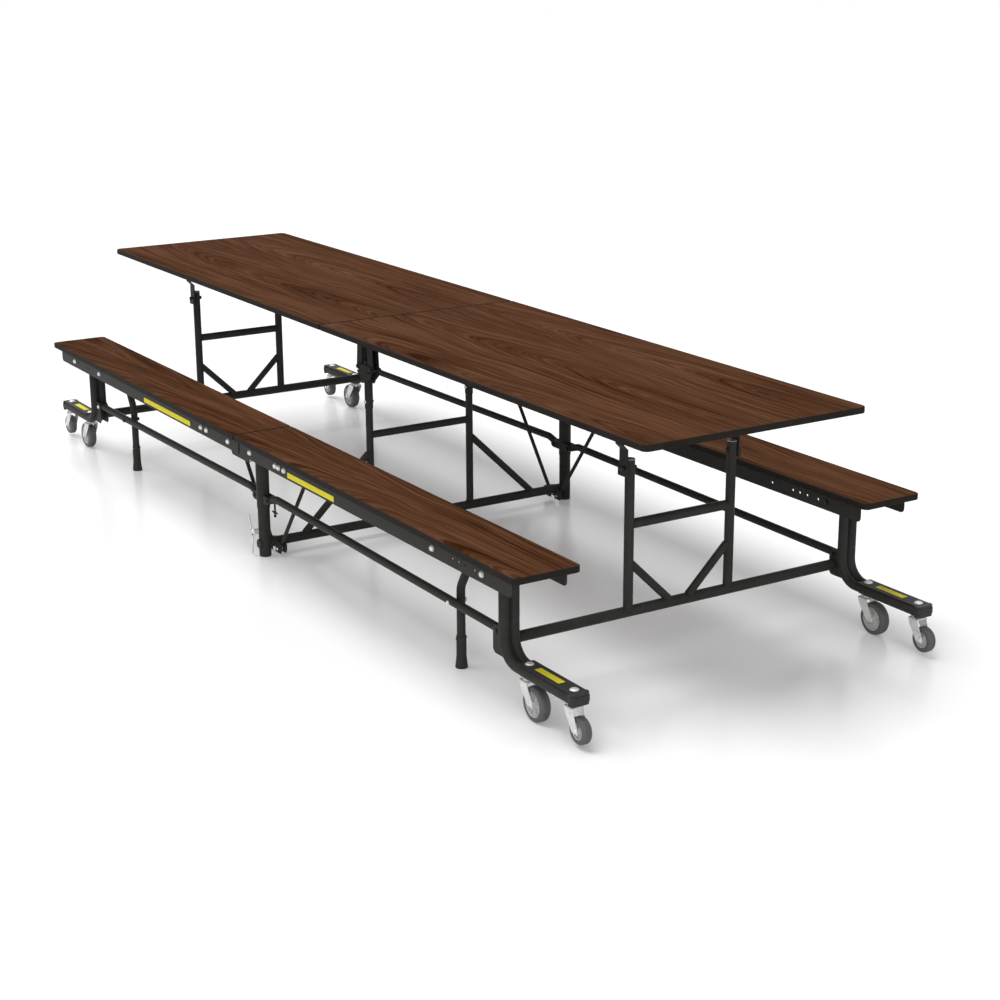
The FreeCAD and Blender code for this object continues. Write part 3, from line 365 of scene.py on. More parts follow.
    def _sheet(self, outline: Sequence[Point], corner: Rounds, steps: int) -> list[BMFace]:
        """Flat face inside an outline with rounded corners.

        Args:
            outline: Corner points in order, in one plane.
            corner: Radius of all the corners, or one for each.
            steps: Steps round each corner.

        Returns:
            The face, in a list.
        """
        before = set(self.bm.verts)
        verts = [bmesh.ops.create_vert(self.bm, co=Vector(point))["vert"][0] for point in outline]
        bmesh.ops.contextual_create(self.bm, geom=verts)
        radii = [corner] * len(outline) if isinstance(corner, (int, float)) else list(corner)
        for radius in sorted(set(radii) - {0.0}):
            chosen = [vert for vert, each in zip(verts, radii) if each == radius]
            self._bevel(chosen, radius, "VERTICES", steps)
        return self._faces_of(self._since(before))

    def plate(self, outline: Sequence[Point], depth: Point, corner: Rounds = 0.0,
              soft: float = 0.0005, segments: int = 2, steps: int = 6) -> None:
        """Cut a plate from its outline, with rounded corners, and soften its edges.

        Args:
            outline: Corner points in order, in one plane.
            depth: Direction and thickness.
            corner: Radius of all the corners, or one for each.
            soft: Rounding of the edges.
            segments: Steps across that rounding.
            steps: Steps round each corner.
        """
        before = set(self.bm.verts)
        self._advance(self._sheet(outline, corner, steps), Vector(depth))
        self._soften(before, soft, segments)

    def block(self, low: Point, high: Point, soft: float = 0.0005) -> None:
        """Square block between two corners, with softened edges.

        Args:
            low: Lowest corner.
            high: Highest corner.
            soft: Rounding of the edges.
        """
        before = set(self.bm.verts)
        middle = (Vector(low) + Vector(high)) / 2.0
        spread = Vector(high) - Vector(low)
        place = Matrix.Translation(middle) @ Matrix.Diagonal((*spread, 1.0))
        bmesh.ops.create_cube(self.bm, size=1.0, matrix=place)
        self._soften(before, soft)

    def pierced(self, outline: Sequence[Point], holes: Sequence[tuple[Point, float]], depth: Point,
                corner: Rounds = 0.0) -> None:
        """Plate with round holes right through it.

        Args:
            outline: Corner points in order, in one plane.
            holes: Centre and radius of each hole, in the same plane.
            depth: Direction and thickness.
            corner: Radius of all the corners, or one for each.
        """
        before = set(self.bm.verts)
        bmesh.ops.delete(self.bm, geom=self._sheet(outline, corner, 6), context="FACES_ONLY")
        for centre, radius in holes:
            bmesh.ops.create_circle(self.bm, cap_ends=False, segments=SMALL_STEPS, radius=radius,
                                    matrix=Matrix.Translation(Vector(centre)) @ aimed(depth))
        filled = bmesh.ops.triangle_fill(self.bm, edges=self._edges_of(self._since(before)),
                                         use_beauty=True, normal=Vector(depth).normalized())["geom"]
        self._advance([item for item in filled if isinstance(item, BMFace)], Vector(depth))
        self._soften(before, 0.0)

    def bent_strip(self, start: Point, bend_x: float, end: Point, radius: float, size: Flat) -> None:
        """Flat strip that comes straight down, turns outward round one bend and runs on level.

        Args:
            start: Top of the strip's centre line.
            bend_x: How far along X the upright part stands.
            end: Outer end of its centre line.
            radius: Radius of the bend.
            size: Thickness and width of the strip.
        """
        before = set(self.bm.verts)
        thick, width = size
        front = self._sheet(level_box(about(bend_x, thick / 2.0), about(start[1], width / 2.0),
                                      start[2]), 0.0, 1)
        front = self._advance(front, Vector((0.0, 0.0, end[2] + radius - start[2])))
        front = self._swing(front, Vector((bend_x + radius, start[1], end[2] + radius)),
                            Vector(INBOARD), math.pi / 2.0)
        self._advance(front, Vector((end[0] - bend_x - radius, 0.0, 0.0)))
        self._soften(before, 0.0)

    def turned(self, profile: Sequence[Flat], base: Point, along: Point,
               steps: int = ROUND_STEPS) -> None:
        """Turn a profile of radius and height about a line.

        Args:
            profile: Radius and height of each point, from the base up.
            base: Where height is 0.
            along: Direction of the line.
            steps: Steps round the line.
        """
        before = set(self.bm.verts)
        verts = [bmesh.ops.create_vert(self.bm, co=Vector((radius, 0.0, height)))["vert"][0]
                 for radius, height in profile]
        edges = [bmesh.ops.contextual_create(self.bm, geom=[low, high])["edges"][0]
                 for low, high in zip(verts, verts[1:])]
        bmesh.ops.spin(self.bm, geom=verts + edges, cent=Vector(), axis=Vector(UP),
                       dvec=Vector(), angle=math.tau, steps=steps, use_merge=True,
                       use_duplicate=False)
        bmesh.ops.remove_doubles(self.bm, verts=self._since(before), dist=WELD_DISTANCE)
        self.transform_since(before, Matrix.Translation(Vector(base)) @ aimed(along))
        self._soften(before, 0.0)

    def ring(self, outline: Sequence[Point], thickness: float, depth: Point,
             corner: Sequence[float], soft: float) -> None:
        """Band of one thickness that runs round the inside of an outline.

        Args:
            outline: Corner points in order, in one plane.
            thickness: Width of the band.
            depth: Direction and height of the band.
            corner: Outside radius of each corner.
            soft: Rounding of the band's outer edges.
        """
        before = set(self.bm.verts)
        sheet = self._sheet(outline, corner, 8)
        rim = bmesh.ops.inset_region(self.bm, faces=sheet, thickness=thickness,
                                     use_even_offset=True, use_boundary=True)["faces"]
        middle = [face for face in self._faces_of(self._since(before)) if face not in set(rim)]
        bmesh.ops.delete(self.bm, geom=middle, context="FACES")
        self._advance(rim, Vector(depth))
        fresh = self._since(before)
        bmesh.ops.recalc_face_normals(self.bm, faces=self._faces_of(fresh))
        centre = sum((Vector(point) for point in outline), Vector()) / len(outline)
        across = Vector(depth).normalized()
        outer = []
        for edge in self._edges_of(fresh):
            if edge.calc_face_angle(0.0) < SHARP_ANGLE:
                continue
            for face in edge.link_faces:
                away = face.calc_center_median() - centre
                if abs(face.normal.dot(across)) < 0.5 and face.normal.dot(away) > 0.0:
                    outer.append(edge)
                    break
        self._bevel(outer, soft, "EDGES", 4)

    def domed_head(self, seat: Point, along: Point, radius: float, height: float,
                   washer: float = 0.0015) -> None:
        """Domed head on a washer.

        Args:
            seat: Where the washer meets its plate.
            along: Direction in which the head stands out.
            radius: Radius of the washer.
            height: Height of the dome.
            washer: Thickness of the washer.
        """
        crown = radius * 0.88
        rim = washer + height * 0.18
        top = washer + height
        profile = [(0.0, 0.0), (radius, 0.0), (radius, washer * 0.75), (radius - washer * 0.25, washer),
                   (crown, washer), (crown, rim)]
        steps = 6
        for step in range(1, steps + 1):
            turn = math.pi / 2.0 * step / steps
            profile.append((crown * math.cos(turn), rim + (top - rim) * math.sin(turn)))
        self.turned(profile, seat, along, SMALL_STEPS)

    def nut(self, seat: Point, along: Point, radius: float, height: float,
            stub: float = 0.0) -> None:
        """Hexagon nut, with the end of its bolt standing out.

        Args:
            seat: Where the nut meets its plate.
            along: Direction in which the nut stands out.
            radius: Radius over the corners.
            height: Height of the nut.
            stub: Radius of the bolt, or 0 where it doesn't show.
        """
        turned = aimed(along).to_3x3()
        corners = []
        for corner in range(6):
            turn = math.radians(60.0 * corner)
            spot = Vector(seat) + turned @ Vector((radius * math.cos(turn), radius * math.sin(turn), 0.0))
            corners.append(tuple(spot))
        self.plate(corners, tuple(Vector(along).normalized() * height), soft=height * 0.09)
        if stub > 0.0:
            thread = []
            for pitch in range(4):
                level = height * (1.0 + 0.09 * pitch)
                thread += [(stub, level), (stub * 0.88, level + height * 0.045)]
            self.turned([(stub * 0.9, 0.0)] + thread + [(stub * 0.75, height * 1.36), (0.0, height * 1.36)],
                        seat, along, SMALL_STEPS)

    def through_bolt(self, x: float, z: float, span: Flat, shank: float, head: float,
                     height: float, nuts: "Form | None" = None) -> None:
        """Bolt across the table with its head outboard and its nut inboard.

        Args:
            x: Place along the table.
            z: Height.
            span: Where the plates that it clamps begin and end.
            shank: Radius of the bolt.
            head: Radius of the washer.
            height: Height of the head.
            nuts: Form that takes the nut, where it has another finish.
        """
        low, high = span
        self.tube([(x, low - OVERLAP, z), (x, high + OVERLAP, z)], shank, steps=SMALL_STEPS)
        self.domed_head((x, high, z), OUTBOARD, head, height)
        (nuts or self).nut((x, low, z), INBOARD, head * 0.95, 0.0052, shank * 0.9)

    def eye(self, centre: Point, radius: float, reach: float, bolt: float) -> None:
        """Bored eye across the end of a tube or rod.

        Args:
            centre: Its centre.
            radius: Outside radius.
            reach: Half its length.
            bolt: Radius of the bolt through it.
        """
        x, y, z = centre
        low, high = about(y, reach)
        self.tube([(x, low, z), (x, high, z)], radius, radius - bolt - LAYOUT.bore_slack, soft=0.0008)

    def reflect(self, across_x: int = 1, across_y: int = 1, keep: bool = False) -> None:
        """Reflect everything so far.

        Args:
            across_x: -1 to change halves.
            across_y: -1 to change sides.
            keep: Whether what is there stays and only its reflection is added.
        """
        items = self.bm.verts[:] + self.bm.edges[:] + self.bm.faces[:]
        if keep:
            items = bmesh.ops.duplicate(self.bm, geom=items)["geom"]
        verts = [item for item in items if isinstance(item, BMVert)]
        bmesh.ops.scale(self.bm, vec=Vector((across_x, across_y, 1.0)), verts=verts)
        bmesh.ops.recalc_face_normals(self.bm, faces=self.bm.faces[:])

    def both_sides(self) -> None:
        """Add the reflection of everything so far on the other side."""
        self.reflect(across_y=-1, keep=True)

    def transform_since(self, before: set[BMVert], matrix: Matrix) -> None:
        """Move what was made since a set was taken.

        Args:
            before: Vertices that stay.
            matrix: How the others move.
        """
        bmesh.ops.transform(self.bm, matrix=matrix, verts=self._since(before))

    def piece(self, name: str, finish: "Finish", body: str, nodes: Sequence[str]) -> Object:
        """Turn the form into a finished piece of the table.

        Args:
            name: Name of the piece.
            finish: What it is made of.
            body: Body that it moves with.
            nodes: Nodes of the model that it stands for.

        Returns:
            The new object.
        """
        mesh = bpy.data.meshes.new(name)
        self.bm.to_mesh(mesh)
        self.bm.free()
        mesh.polygons.foreach_set("use_smooth", [True] * len(mesh.polygons))
        mesh.set_sharp_from_angle(angle=SHARP_ANGLE)
        mesh.materials.append(finish.material())
        made = bpy.data.objects.new(name, mesh)
        bpy.context.scene.collection.objects.link(made)
        weights = made.modifiers.new("face_weights", "WEIGHTED_NORMAL")
        weights.keep_sharp = True
        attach(made, body)
        if nodes:
            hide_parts(*nodes)
        log.info("%s: %d faces, rides on %s", name, len(mesh.polygons), body)
        return made


class Graph:
    """Node tree with short ways to add and join its nodes."""

    def __init__(self, tree: NodeTree) -> None:
        """Work on one node tree."""
        self.tree = tree

    def add(self, kind: str, inputs: dict | None = None, **settings: object) -> Node:
        """Add a node.

        Args:
            kind: Blender's name of the node type, after ShaderNode.
            inputs: Values or source sockets for its inputs, by name or number.
            settings: Values of its properties.

        Returns:
            The new node.
        """
        node = self.tree.nodes.new(f"ShaderNode{kind}")
        for name, value in settings.items():
            setattr(node, name, value)
        for name, value in (inputs or {}).items():
            if isinstance(value, NodeSocket):
                self.tree.links.new(value, node.inputs[name])
            else:
                node.inputs[name].default_value = value
        return node

    def join(self, node: Node, **sources: NodeSocket) -> None:
        """Join source sockets to a node's inputs.

        Args:
            node: Node that takes them.
            sources: Source of each input, with _ for a space in its name.
        """
        for name, source in sources.items():
            self.tree.links.new(source, node.inputs[name.replace("_", " ")])

    def noise(self, vector: NodeSocket, scale: NodeSocket | float, detail: float = 3.0,
              roughness: float = 0.55) -> NodeSocket:
        """Noise at one scale.

        Args:
            vector: Coordinates.
            scale: Scale of the noise.
            detail: Octaves.
            roughness: Weight of the finer octaves.

        Returns:
            Its factor socket.
        """
        node = self.add("TexNoise", {"Vector": vector, "Scale": scale, "Detail": detail,
                                     "Roughness": roughness})
        return node.outputs["Fac"]

    def stretch(self, vector: NodeSocket, scale: Point) -> NodeSocket:
        """Coordinates scaled along each axis.

        Args:
            vector: Coordinates.
            scale: Factor along each axis.

        Returns:
            The scaled coordinates.
        """
        return self.add("Mapping", {"Vector": vector, "Scale": scale}).outputs["Vector"]

    def fit(self, value: NodeSocket, source: Flat, target: Flat) -> NodeSocket:
        """Value moved from one range to another and clamped.

        Args:
            value: Value to move.
            source: Range that it comes from.
            target: Range that it goes to.

        Returns:
            The moved value.
        """
        node = self.add("MapRange", {"Value": value, "From Min": source[0],
                                     "From Max": source[1], "To Min": target[0],
                                     "To Max": target[1]})
        return node.outputs["Result"]

    def math(self, operation: str, first: NodeSocket | float, second: NodeSocket | float) -> NodeSocket:
        """Arithmetic on two values.

        Args:
            operation: Name of the operation.
            first: First value.
            second: Second value.

        Returns:
            The result.
        """
        return self.add("Math", {0: first, 1: second}, operation=operation).outputs[0]

    def mix(self, factor: NodeSocket | float, first: object, second: object) -> NodeSocket:
        """Mix of two colours.

        Args:
            factor: Share of the second colour.
            first: First colour or its socket.
            second: Second colour or its socket.

        Returns:
            The mixed colour.
        """
        return self.add("Mix", {0: factor, 6: first, 7: second}, data_type="RGBA").outputs[2]


class SharedEffects:
    """Node groups that more than one finish uses, each built once."""

    ARCH_WIDTH = 0.145
    ARCH_TAPER = -0.050
    ARCH_SWAY = (-0.028, 0.028)
    ARCH_DEPTH = (0.090, 0.130)
    LAYERS = 4.0
    BANDS = (0.9, 22.0, 1.0)
    STREAKS = (((1.1, 135.0, 1.0), 0.64), ((4.0, 330.0, 1.0), 0.34))
    CONTRAST = (0.375, 0.625)
    PORES = (4.5, 340.0, 1.0)
    PORE_CUT = (0.60, 0.70)
    PORE_SHARE = 0.50

    @staticmethod
    def _open(name: str, inputs: dict[str, str], outputs: dict[str, str]
              ) -> tuple[NodeTree, Graph, Node, Node]:
        """Start a node group.

        Args:
            name: Name of the group.
            inputs: Socket type of each input.
            outputs: Socket type of each output.

        Returns:
            The group, its graph and its two end nodes.
        """
        group = bpy.data.node_groups.new(name, "ShaderNodeTree")
        for label, kind in inputs.items():
            group.interface.new_socket(label, in_out="INPUT", socket_type=kind)
        for label, kind in outputs.items():
            group.interface.new_socket(label, in_out="OUTPUT", socket_type=kind)
        graph = Graph(group)
        return group, graph, group.nodes.new("NodeGroupInput"), group.nodes.new("NodeGroupOutput")

    @classmethod
    def blotches(cls) -> NodeTree:
        """Soft uneven mask of handling and dust, from slow and fine noise.

        Returns:
            The node group.
        """
        name = "handling_blotches"
        if name in bpy.data.node_groups:
            return bpy.data.node_groups[name]
        group, graph, start, end = cls._open(
            name, {"Vector": "NodeSocketVector", "Scale": "NodeSocketFloat"},
            {"Mask": "NodeSocketFloat"})
        slow = graph.noise(start.outputs["Vector"], start.outputs["Scale"], 4.0, 0.6)
        scaled = graph.math("MULTIPLY", start.outputs["Scale"], 7.0)
        fine = graph.noise(start.outputs["Vector"], scaled)
        total = graph.add("Mix", {0: 0.35, 2: slow, 3: fine})
        clear = graph.fit(total.outputs[0], (0.36, 0.64), (0.0, 1.0))
        graph.join(end, Mask=clear)
        return group

    @classmethod
    def pebble(cls) -> NodeTree:
        """Fine pebbled relief, such as powder coat or moulded plastic has.

        Returns:
            The node group.
        """
        name = "pebbled_relief"
        if name in bpy.data.node_groups:
            return bpy.data.node_groups[name]
        group, graph, start, end = cls._open(
            name, {"Vector": "NodeSocketVector", "Scale": "NodeSocketFloat",
                   "Depth": "NodeSocketFloat"}, {"Normal": "NodeSocketVector"})
        height = graph.noise(start.outputs["Vector"], start.outputs["Scale"], 2.0, 0.5)
        bump = graph.add("Bump", {"Strength": start.outputs["Depth"], "Distance": 0.0004, "Height": height})
        graph.join(end, Normal=bump.outputs["Normal"])
        return group

    @classmethod
    def walnut(cls) -> NodeTree:
        """Walnut figure along X: columns of pointed arches crossed by streaks, fibres and pores.

        Returns:
            The node group.
        """
        name = "walnut_figure"
        if name in bpy.data.node_groups:
            return bpy.data.node_groups[name]
        group, graph, start, end = cls._open(
            name, {"Vector": "NodeSocketVector", "Dark": "NodeSocketColor",
                   "Light": "NodeSocketColor", "Shift": "NodeSocketVector"},
            {"Color": "NodeSocketColor", "Pores": "NodeSocketFloat"})
        shifted = graph.add("VectorMath", {0: start.outputs["Vector"],
                                           1: start.outputs["Shift"]}, operation="ADD")
        place = shifted.outputs["Vector"]
        axes = graph.add("SeparateXYZ", {0: place}).outputs
        sway = graph.fit(graph.noise(graph.stretch(place, (1.3, 4.0, 1.0)), 1.0, 2.0), (0.2, 0.8),
                         cls.ARCH_SWAY)
        column = graph.math("PINGPONG", graph.math("ADD", axes["Y"], sway), cls.ARCH_WIDTH)
        slope = graph.math("MULTIPLY", axes["X"], cls.ARCH_TAPER)
        drift = graph.fit(graph.noise(graph.stretch(place, (0.9, 3.0, 1.0)), 1.0, 1.0), (0.2, 0.8),
                          cls.ARCH_DEPTH)
        rise = graph.math("ADD", slope, drift)
        ring = graph.math("SQRT", graph.math("ADD", graph.math("MULTIPLY", column, column),
                                             graph.math("MULTIPLY", rise, rise)), 0.0)
        layer = graph.math("MULTIPLY", axes["Y"], cls.LAYERS)
        grain = graph.add("CombineXYZ", {0: axes["X"], 1: ring, 2: layer}).outputs[0]
        tone = graph.noise(graph.stretch(grain, cls.BANDS), 1.0, 2.0)
        for scale, share in cls.STREAKS:
            finer = graph.noise(graph.stretch(grain, scale), 1.0, 3.0, 0.6)
            tone = graph.add("Mix", {0: share, 2: tone, 3: finer}).outputs[0]
        body = graph.mix(graph.fit(tone, cls.CONTRAST, (0.0, 1.0)), start.outputs["Dark"],
                         start.outputs["Light"])
        pores = graph.fit(graph.noise(graph.stretch(grain, cls.PORES), 1.0, 1.0), cls.PORE_CUT, (0.0, 1.0))
        dark = graph.mix(graph.math("MULTIPLY", pores, cls.PORE_SHARE), body, start.outputs["Dark"])
        graph.join(end, Color=dark, Pores=pores)
        return group


@dataclass(frozen=True)
class Finish:
    """What a piece is made of and coated with."""

    name: str
    slot: str

    def material(self) -> Material:
        """The finish's material, built once.

        Returns:
            The material.
        """
        if self.name in bpy.data.materials:
            return bpy.data.materials[self.name]
        made = bpy.data.materials.new(self.name)
        made.use_nodes = True
        made.node_tree.nodes.clear()
        graph = Graph(made.node_tree)
        shader = graph.add("BsdfPrincipled")
        output = graph.add("OutputMaterial")
        graph.join(output, Surface=shader.outputs["BSDF"])
        place = graph.add("TexCoord").outputs["Object"]
        self.dress(graph, shader, place)
        return made

    def dress(self, graph: Graph, shader: Node, place: NodeSocket) -> None:
        """Join this finish's pattern to the shader.

        Args:
            graph: Material's node graph.
            shader: Its shader.
            place: Object coordinates.
        """
        raise NotImplementedError

    @staticmethod
    def blotch_mask(graph: Graph, place: NodeSocket, scale: float) -> NodeSocket:
        """Mask of the shared blotches at one scale.

        Args:
            graph: Material's node graph.
            place: Object coordinates.
            scale: Scale of the blotches.

        Returns:
            The mask.
        """
        return graph.add("Group", {"Vector": place, "Scale": scale},
                         node_tree=SharedEffects.blotches()).outputs["Mask"]

    @staticmethod
    def relief(graph: Graph, shader: Node, place: NodeSocket, scale: float, depth: float) -> None:
        """Join the shared pebbled relief to the shader.

        Args:
            graph: Material's node graph.
            shader: Its shader.
            place: Object coordinates.
            scale: Scale of the relief.
            depth: Strength of the relief.
        """
        node = graph.add("Group", {"Vector": place, "Scale": scale, "Depth": depth},
                         node_tree=SharedEffects.pebble())
        graph.join(shader, Normal=node.outputs["Normal"])


@dataclass(frozen=True)
class LaminateFinish(Finish):
    """Walnut laminate with a satin face."""

    dark: tuple[float, ...] = (0.033, 0.0092, 0.0022, 1.0)
    light: tuple[float, ...] = (0.157, 0.0710, 0.0375, 1.0)
    shift: Point = (0.0, 0.0, 0.0)
    roughness: Flat = (0.40, 0.50)
    blotch_scale: float = 2.4
    specular: float = 0.0005

    def dress(self, graph: Graph, shader: Node, place: NodeSocket) -> None:
        """Join the walnut figure and its satin sheen to the shader.

        Args:
            graph: Material's node graph.
            shader: Its shader.
            place: Object coordinates.
        """
        node = graph.add("Group", {"Vector": place, "Dark": self.dark, "Light": self.light,
                                   "Shift": self.shift},
                         node_tree=SharedEffects.walnut())
        mask = self.blotch_mask(graph, place, self.blotch_scale)
        bump = graph.add("Bump", {"Strength": 0.10, "Distance": 0.0002,
                                  "Height": node.outputs["Pores"]}, invert=True)
        graph.join(shader, Base_Color=node.outputs["Color"],
                   Roughness=graph.fit(mask, (0.0, 1.0), self.roughness),
                   Normal=bump.outputs["Normal"])
        shader.inputs["Specular IOR Level"].default_value = self.specular


@dataclass(frozen=True)
class CoatFinish(Finish):
    """Powder coat, vinyl, moulded plastic or rubber in one colour with tone and relief."""

    colour: tuple[float, ...] = (0.04, 0.04, 0.04, 1.0)
    bloom: tuple[float, ...] = (0.06, 0.06, 0.06, 1.0)
    roughness: Flat = (0.36, 0.50)
    blotch_scale: float = 9.0
    relief_scale: float = 900.0
    relief_depth: float = 0.10
    specular: float = 0.5

    def dress(self, graph: Graph, shader: Node, place: NodeSocket) -> None:
        """Join tone, roughness and relief to the shader.

        Args:
            graph: Material's node graph.
            shader: Its shader.
            place: Object coordinates.
        """
        mask = self.blotch_mask(graph, place, self.blotch_scale)
        graph.join(shader, Base_Color=graph.mix(mask, self.colour, self.bloom),
                   Roughness=graph.fit(mask, (0.0, 1.0), self.roughness))
        self.relief(graph, shader, place, self.relief_scale, self.relief_depth)
        shader.inputs["Specular IOR Level"].default_value = self.specular


@dataclass(frozen=True)
class ZincFinish(Finish):
    """Bright zinc plate with soft spangle."""

    bright: tuple[float, ...] = (0.80, 0.80, 0.79, 1.0)
    dull: tuple[float, ...] = (0.60, 0.60, 0.59, 1.0)
    spangle_scale: float = 160.0
    roughness: Flat = (0.44, 0.58)
    metallic: Flat = (0.72, 0.60)
    blotch_scale: float = 45.0
    relief_scale: float = 420.0
    relief_depth: float = 0.06

    def dress(self, graph: Graph, shader: Node, place: NodeSocket) -> None:
        """Join the spangle and the metal to the shader.

        Args:
            graph: Material's node graph.
            shader: Its shader.
            place: Object coordinates.
        """
        cells = graph.add("TexVoronoi", {"Vector": place, "Scale": self.spangle_scale})
        speck = graph.fit(cells.outputs["Distance"], (0.0, 0.7), (0.0, 1.0))
        mask = self.blotch_mask(graph, place, self.blotch_scale)
        both = graph.math("MULTIPLY", speck, mask)
        graph.join(shader, Base_Color=graph.mix(both, self.bright, self.dull),
                   Roughness=graph.fit(mask, (0.0, 1.0), self.roughness),
                   Metallic=graph.fit(mask, (0.0, 1.0), self.metallic))
        self.relief(graph, shader, place, self.relief_scale, self.relief_depth)


@dataclass(frozen=True)
class TreadFinish(Finish):
    """Tyre rubber, with paler scuffs and dust scattered in blotches."""

    rubber: tuple[float, ...] = (0.085, 0.085, 0.087, 1.0)
    scuffed: tuple[float, ...] = (0.150, 0.149, 0.147, 1.0)
    roughness: Flat = (0.55, 0.78)
    blotch_scale: float = 30.0
    grain_scale: float = 700.0
    relief_scale: float = 1400.0
    relief_depth: float = 0.22

    def dress(self, graph: Graph, shader: Node, place: NodeSocket) -> None:
        """Join scuffs, fine grain and relief to the shader.

        Args:
            graph: Material's node graph.
            shader: Its shader.
            place: Object coordinates.
        """
        mask = self.blotch_mask(graph, place, self.blotch_scale)
        grain = graph.fit(graph.noise(place, self.grain_scale, 2.0), (0.35, 0.65), (0.0, 1.0))
        wear = graph.math("MULTIPLY", mask, grain)
        graph.join(shader, Base_Color=graph.mix(wear, self.rubber, self.scuffed),
                   Roughness=graph.fit(mask, (0.0, 1.0), self.roughness))
        self.relief(graph, shader, place, self.relief_scale, self.relief_depth)


LAMINATE_NEAR = LaminateFinish("walnut_laminate_near", "laminate", shift=(0.0, 0.052, 0.0))
LAMINATE_FAR = LaminateFinish("walnut_laminate_far", "laminate", shift=(1.9, 0.14, 5.0))
LAMINATE_BENCH = LaminateFinish("walnut_laminate_bench", "laminate", shift=(0.0, 0.125, 9.0))
EDGE_VINYL = CoatFinish("black_edge_band", "edge_vinyl", (0.0200, 0.0172, 0.0148, 1.0),
                        (0.0270, 0.0235, 0.0205, 1.0), (0.42, 0.55), 14.0, 1200.0, 0.12, 0.02)
FRAME_PAINT = CoatFinish("frame_powder_coat", "frame_paint", (0.0360, 0.0355, 0.0335, 1.0),
                         (0.0480, 0.0473, 0.0445, 1.0), (0.34, 0.46), 9.0, 950.0, 0.12, 0.04)
BLACK_BOLT = CoatFinish("black_oxide_bolts", "", (0.0080, 0.0080, 0.0078, 1.0),
                        (0.0160, 0.0158, 0.0150, 1.0), (0.34, 0.50), 60.0, 900.0, 0.10, 0.30)
PLUG_GREY = CoatFinish("plug_grey", "", (0.36, 0.36, 0.355, 1.0),
                       (0.46, 0.46, 0.45, 1.0), (0.40, 0.55), 50.0, 1100.0, 0.10, 0.4)
ZINC = ZincFinish("zinc_plate", "zinc")
CAP_PLASTIC = CoatFinish("cap_plastic", "black_plastic", (0.017, 0.017, 0.017, 1.0),
                         (0.030, 0.030, 0.030, 1.0), (0.45, 0.60), 30.0, 1500.0, 0.15, 0.30)
FOOT_RUBBER = CoatFinish("ribbed_foot", "foot_rubber", (0.018, 0.018, 0.018, 1.0),
                         (0.036, 0.035, 0.033, 1.0), (0.62, 0.82), 40.0, 1300.0, 0.22, 0.25)
TYRE = TreadFinish("tyre_rubber", "wheel_rubber")
HUB_PLASTIC = CoatFinish("hub_grey", "", (0.50, 0.50, 0.49, 1.0),
                         (0.62, 0.62, 0.61, 1.0), (0.35, 0.50), 50.0, 1100.0, 0.10, 0.5)
STRIP_YELLOW = CoatFinish("strip_yellow", "", (0.86, 0.74, 0.028, 1.0),
                          (0.94, 0.82, 0.045, 1.0), (0.38, 0.48), 20.0, 500.0, 0.05, 0.06)


@dataclass
class Board:
    """A laminated board and the vinyl band round its edge."""

    length_end: float
    width: Flat
    top: float
    corner: float
    seam: float = 0.002
    seam_corner: float = 0.007
    band: float = 0.003
    band_round: float = 0.0027
    face_round: float = 0.0003

    def _outline(self, inset: float, level: float) -> list[Point]:
        """Corner points of the board.

        Args:
            inset: How far they are drawn in on every side.
            level: Their height.

        Returns:
            The corners, from the seam round to the seam.
        """
        return level_box((self.seam + inset, self.length_end - inset),
                         (self.width[0] + inset, self.width[1] - inset), level)

    def core(self, form: Form) -> None:
        """Add the laminated board inside its band.

        Args:
            form: Form that takes it.
        """
        seam = self.seam_corner - self.band
        end = self.corner - self.band
        form.plate(self._outline(self.band, self.top - LAYOUT.board), (0.0, 0.0, LAYOUT.board),
                   (seam, end, end, seam), self.face_round, 2, 8)

    def edge(self, form: Form) -> None:
        """Add the vinyl band.

        Args:
            form: Form that takes it.
        """
        form.ring(self._outline(0.0, self.top - LAYOUT.board), self.band, (0.0, 0.0, LAYOUT.board),
                  (self.seam_corner, self.corner, self.corner, self.seam_corner), self.band_round)


@dataclass
class HalfAssembly:
    """A sub-assembly of one half, whose pieces, bodies and nodes are named for that half."""

    half: Half

    def _piece(self, form: Form, label: str, finish: Finish, body: str, nodes: Sequence[str],
               side: Side = Side.RIGHT) -> None:
        """Reflect a form into its place, and make it a piece.

        Args:
            form: Form shaped in the near right quarter.
            label: Name of the piece after the half's.
            finish: What it is made of.
            body: Body that it moves with, after the half's name.
            nodes: Nodes that it stands for, each after the half's name.
            side: Side that it belongs on.
        """
        name = self.half.value
        form.reflect(self.half.sign, side.sign)
        form.piece(f"{name}_{label}", finish, f"{name}_{body}", [f"{name}_{node}" for node in nodes])


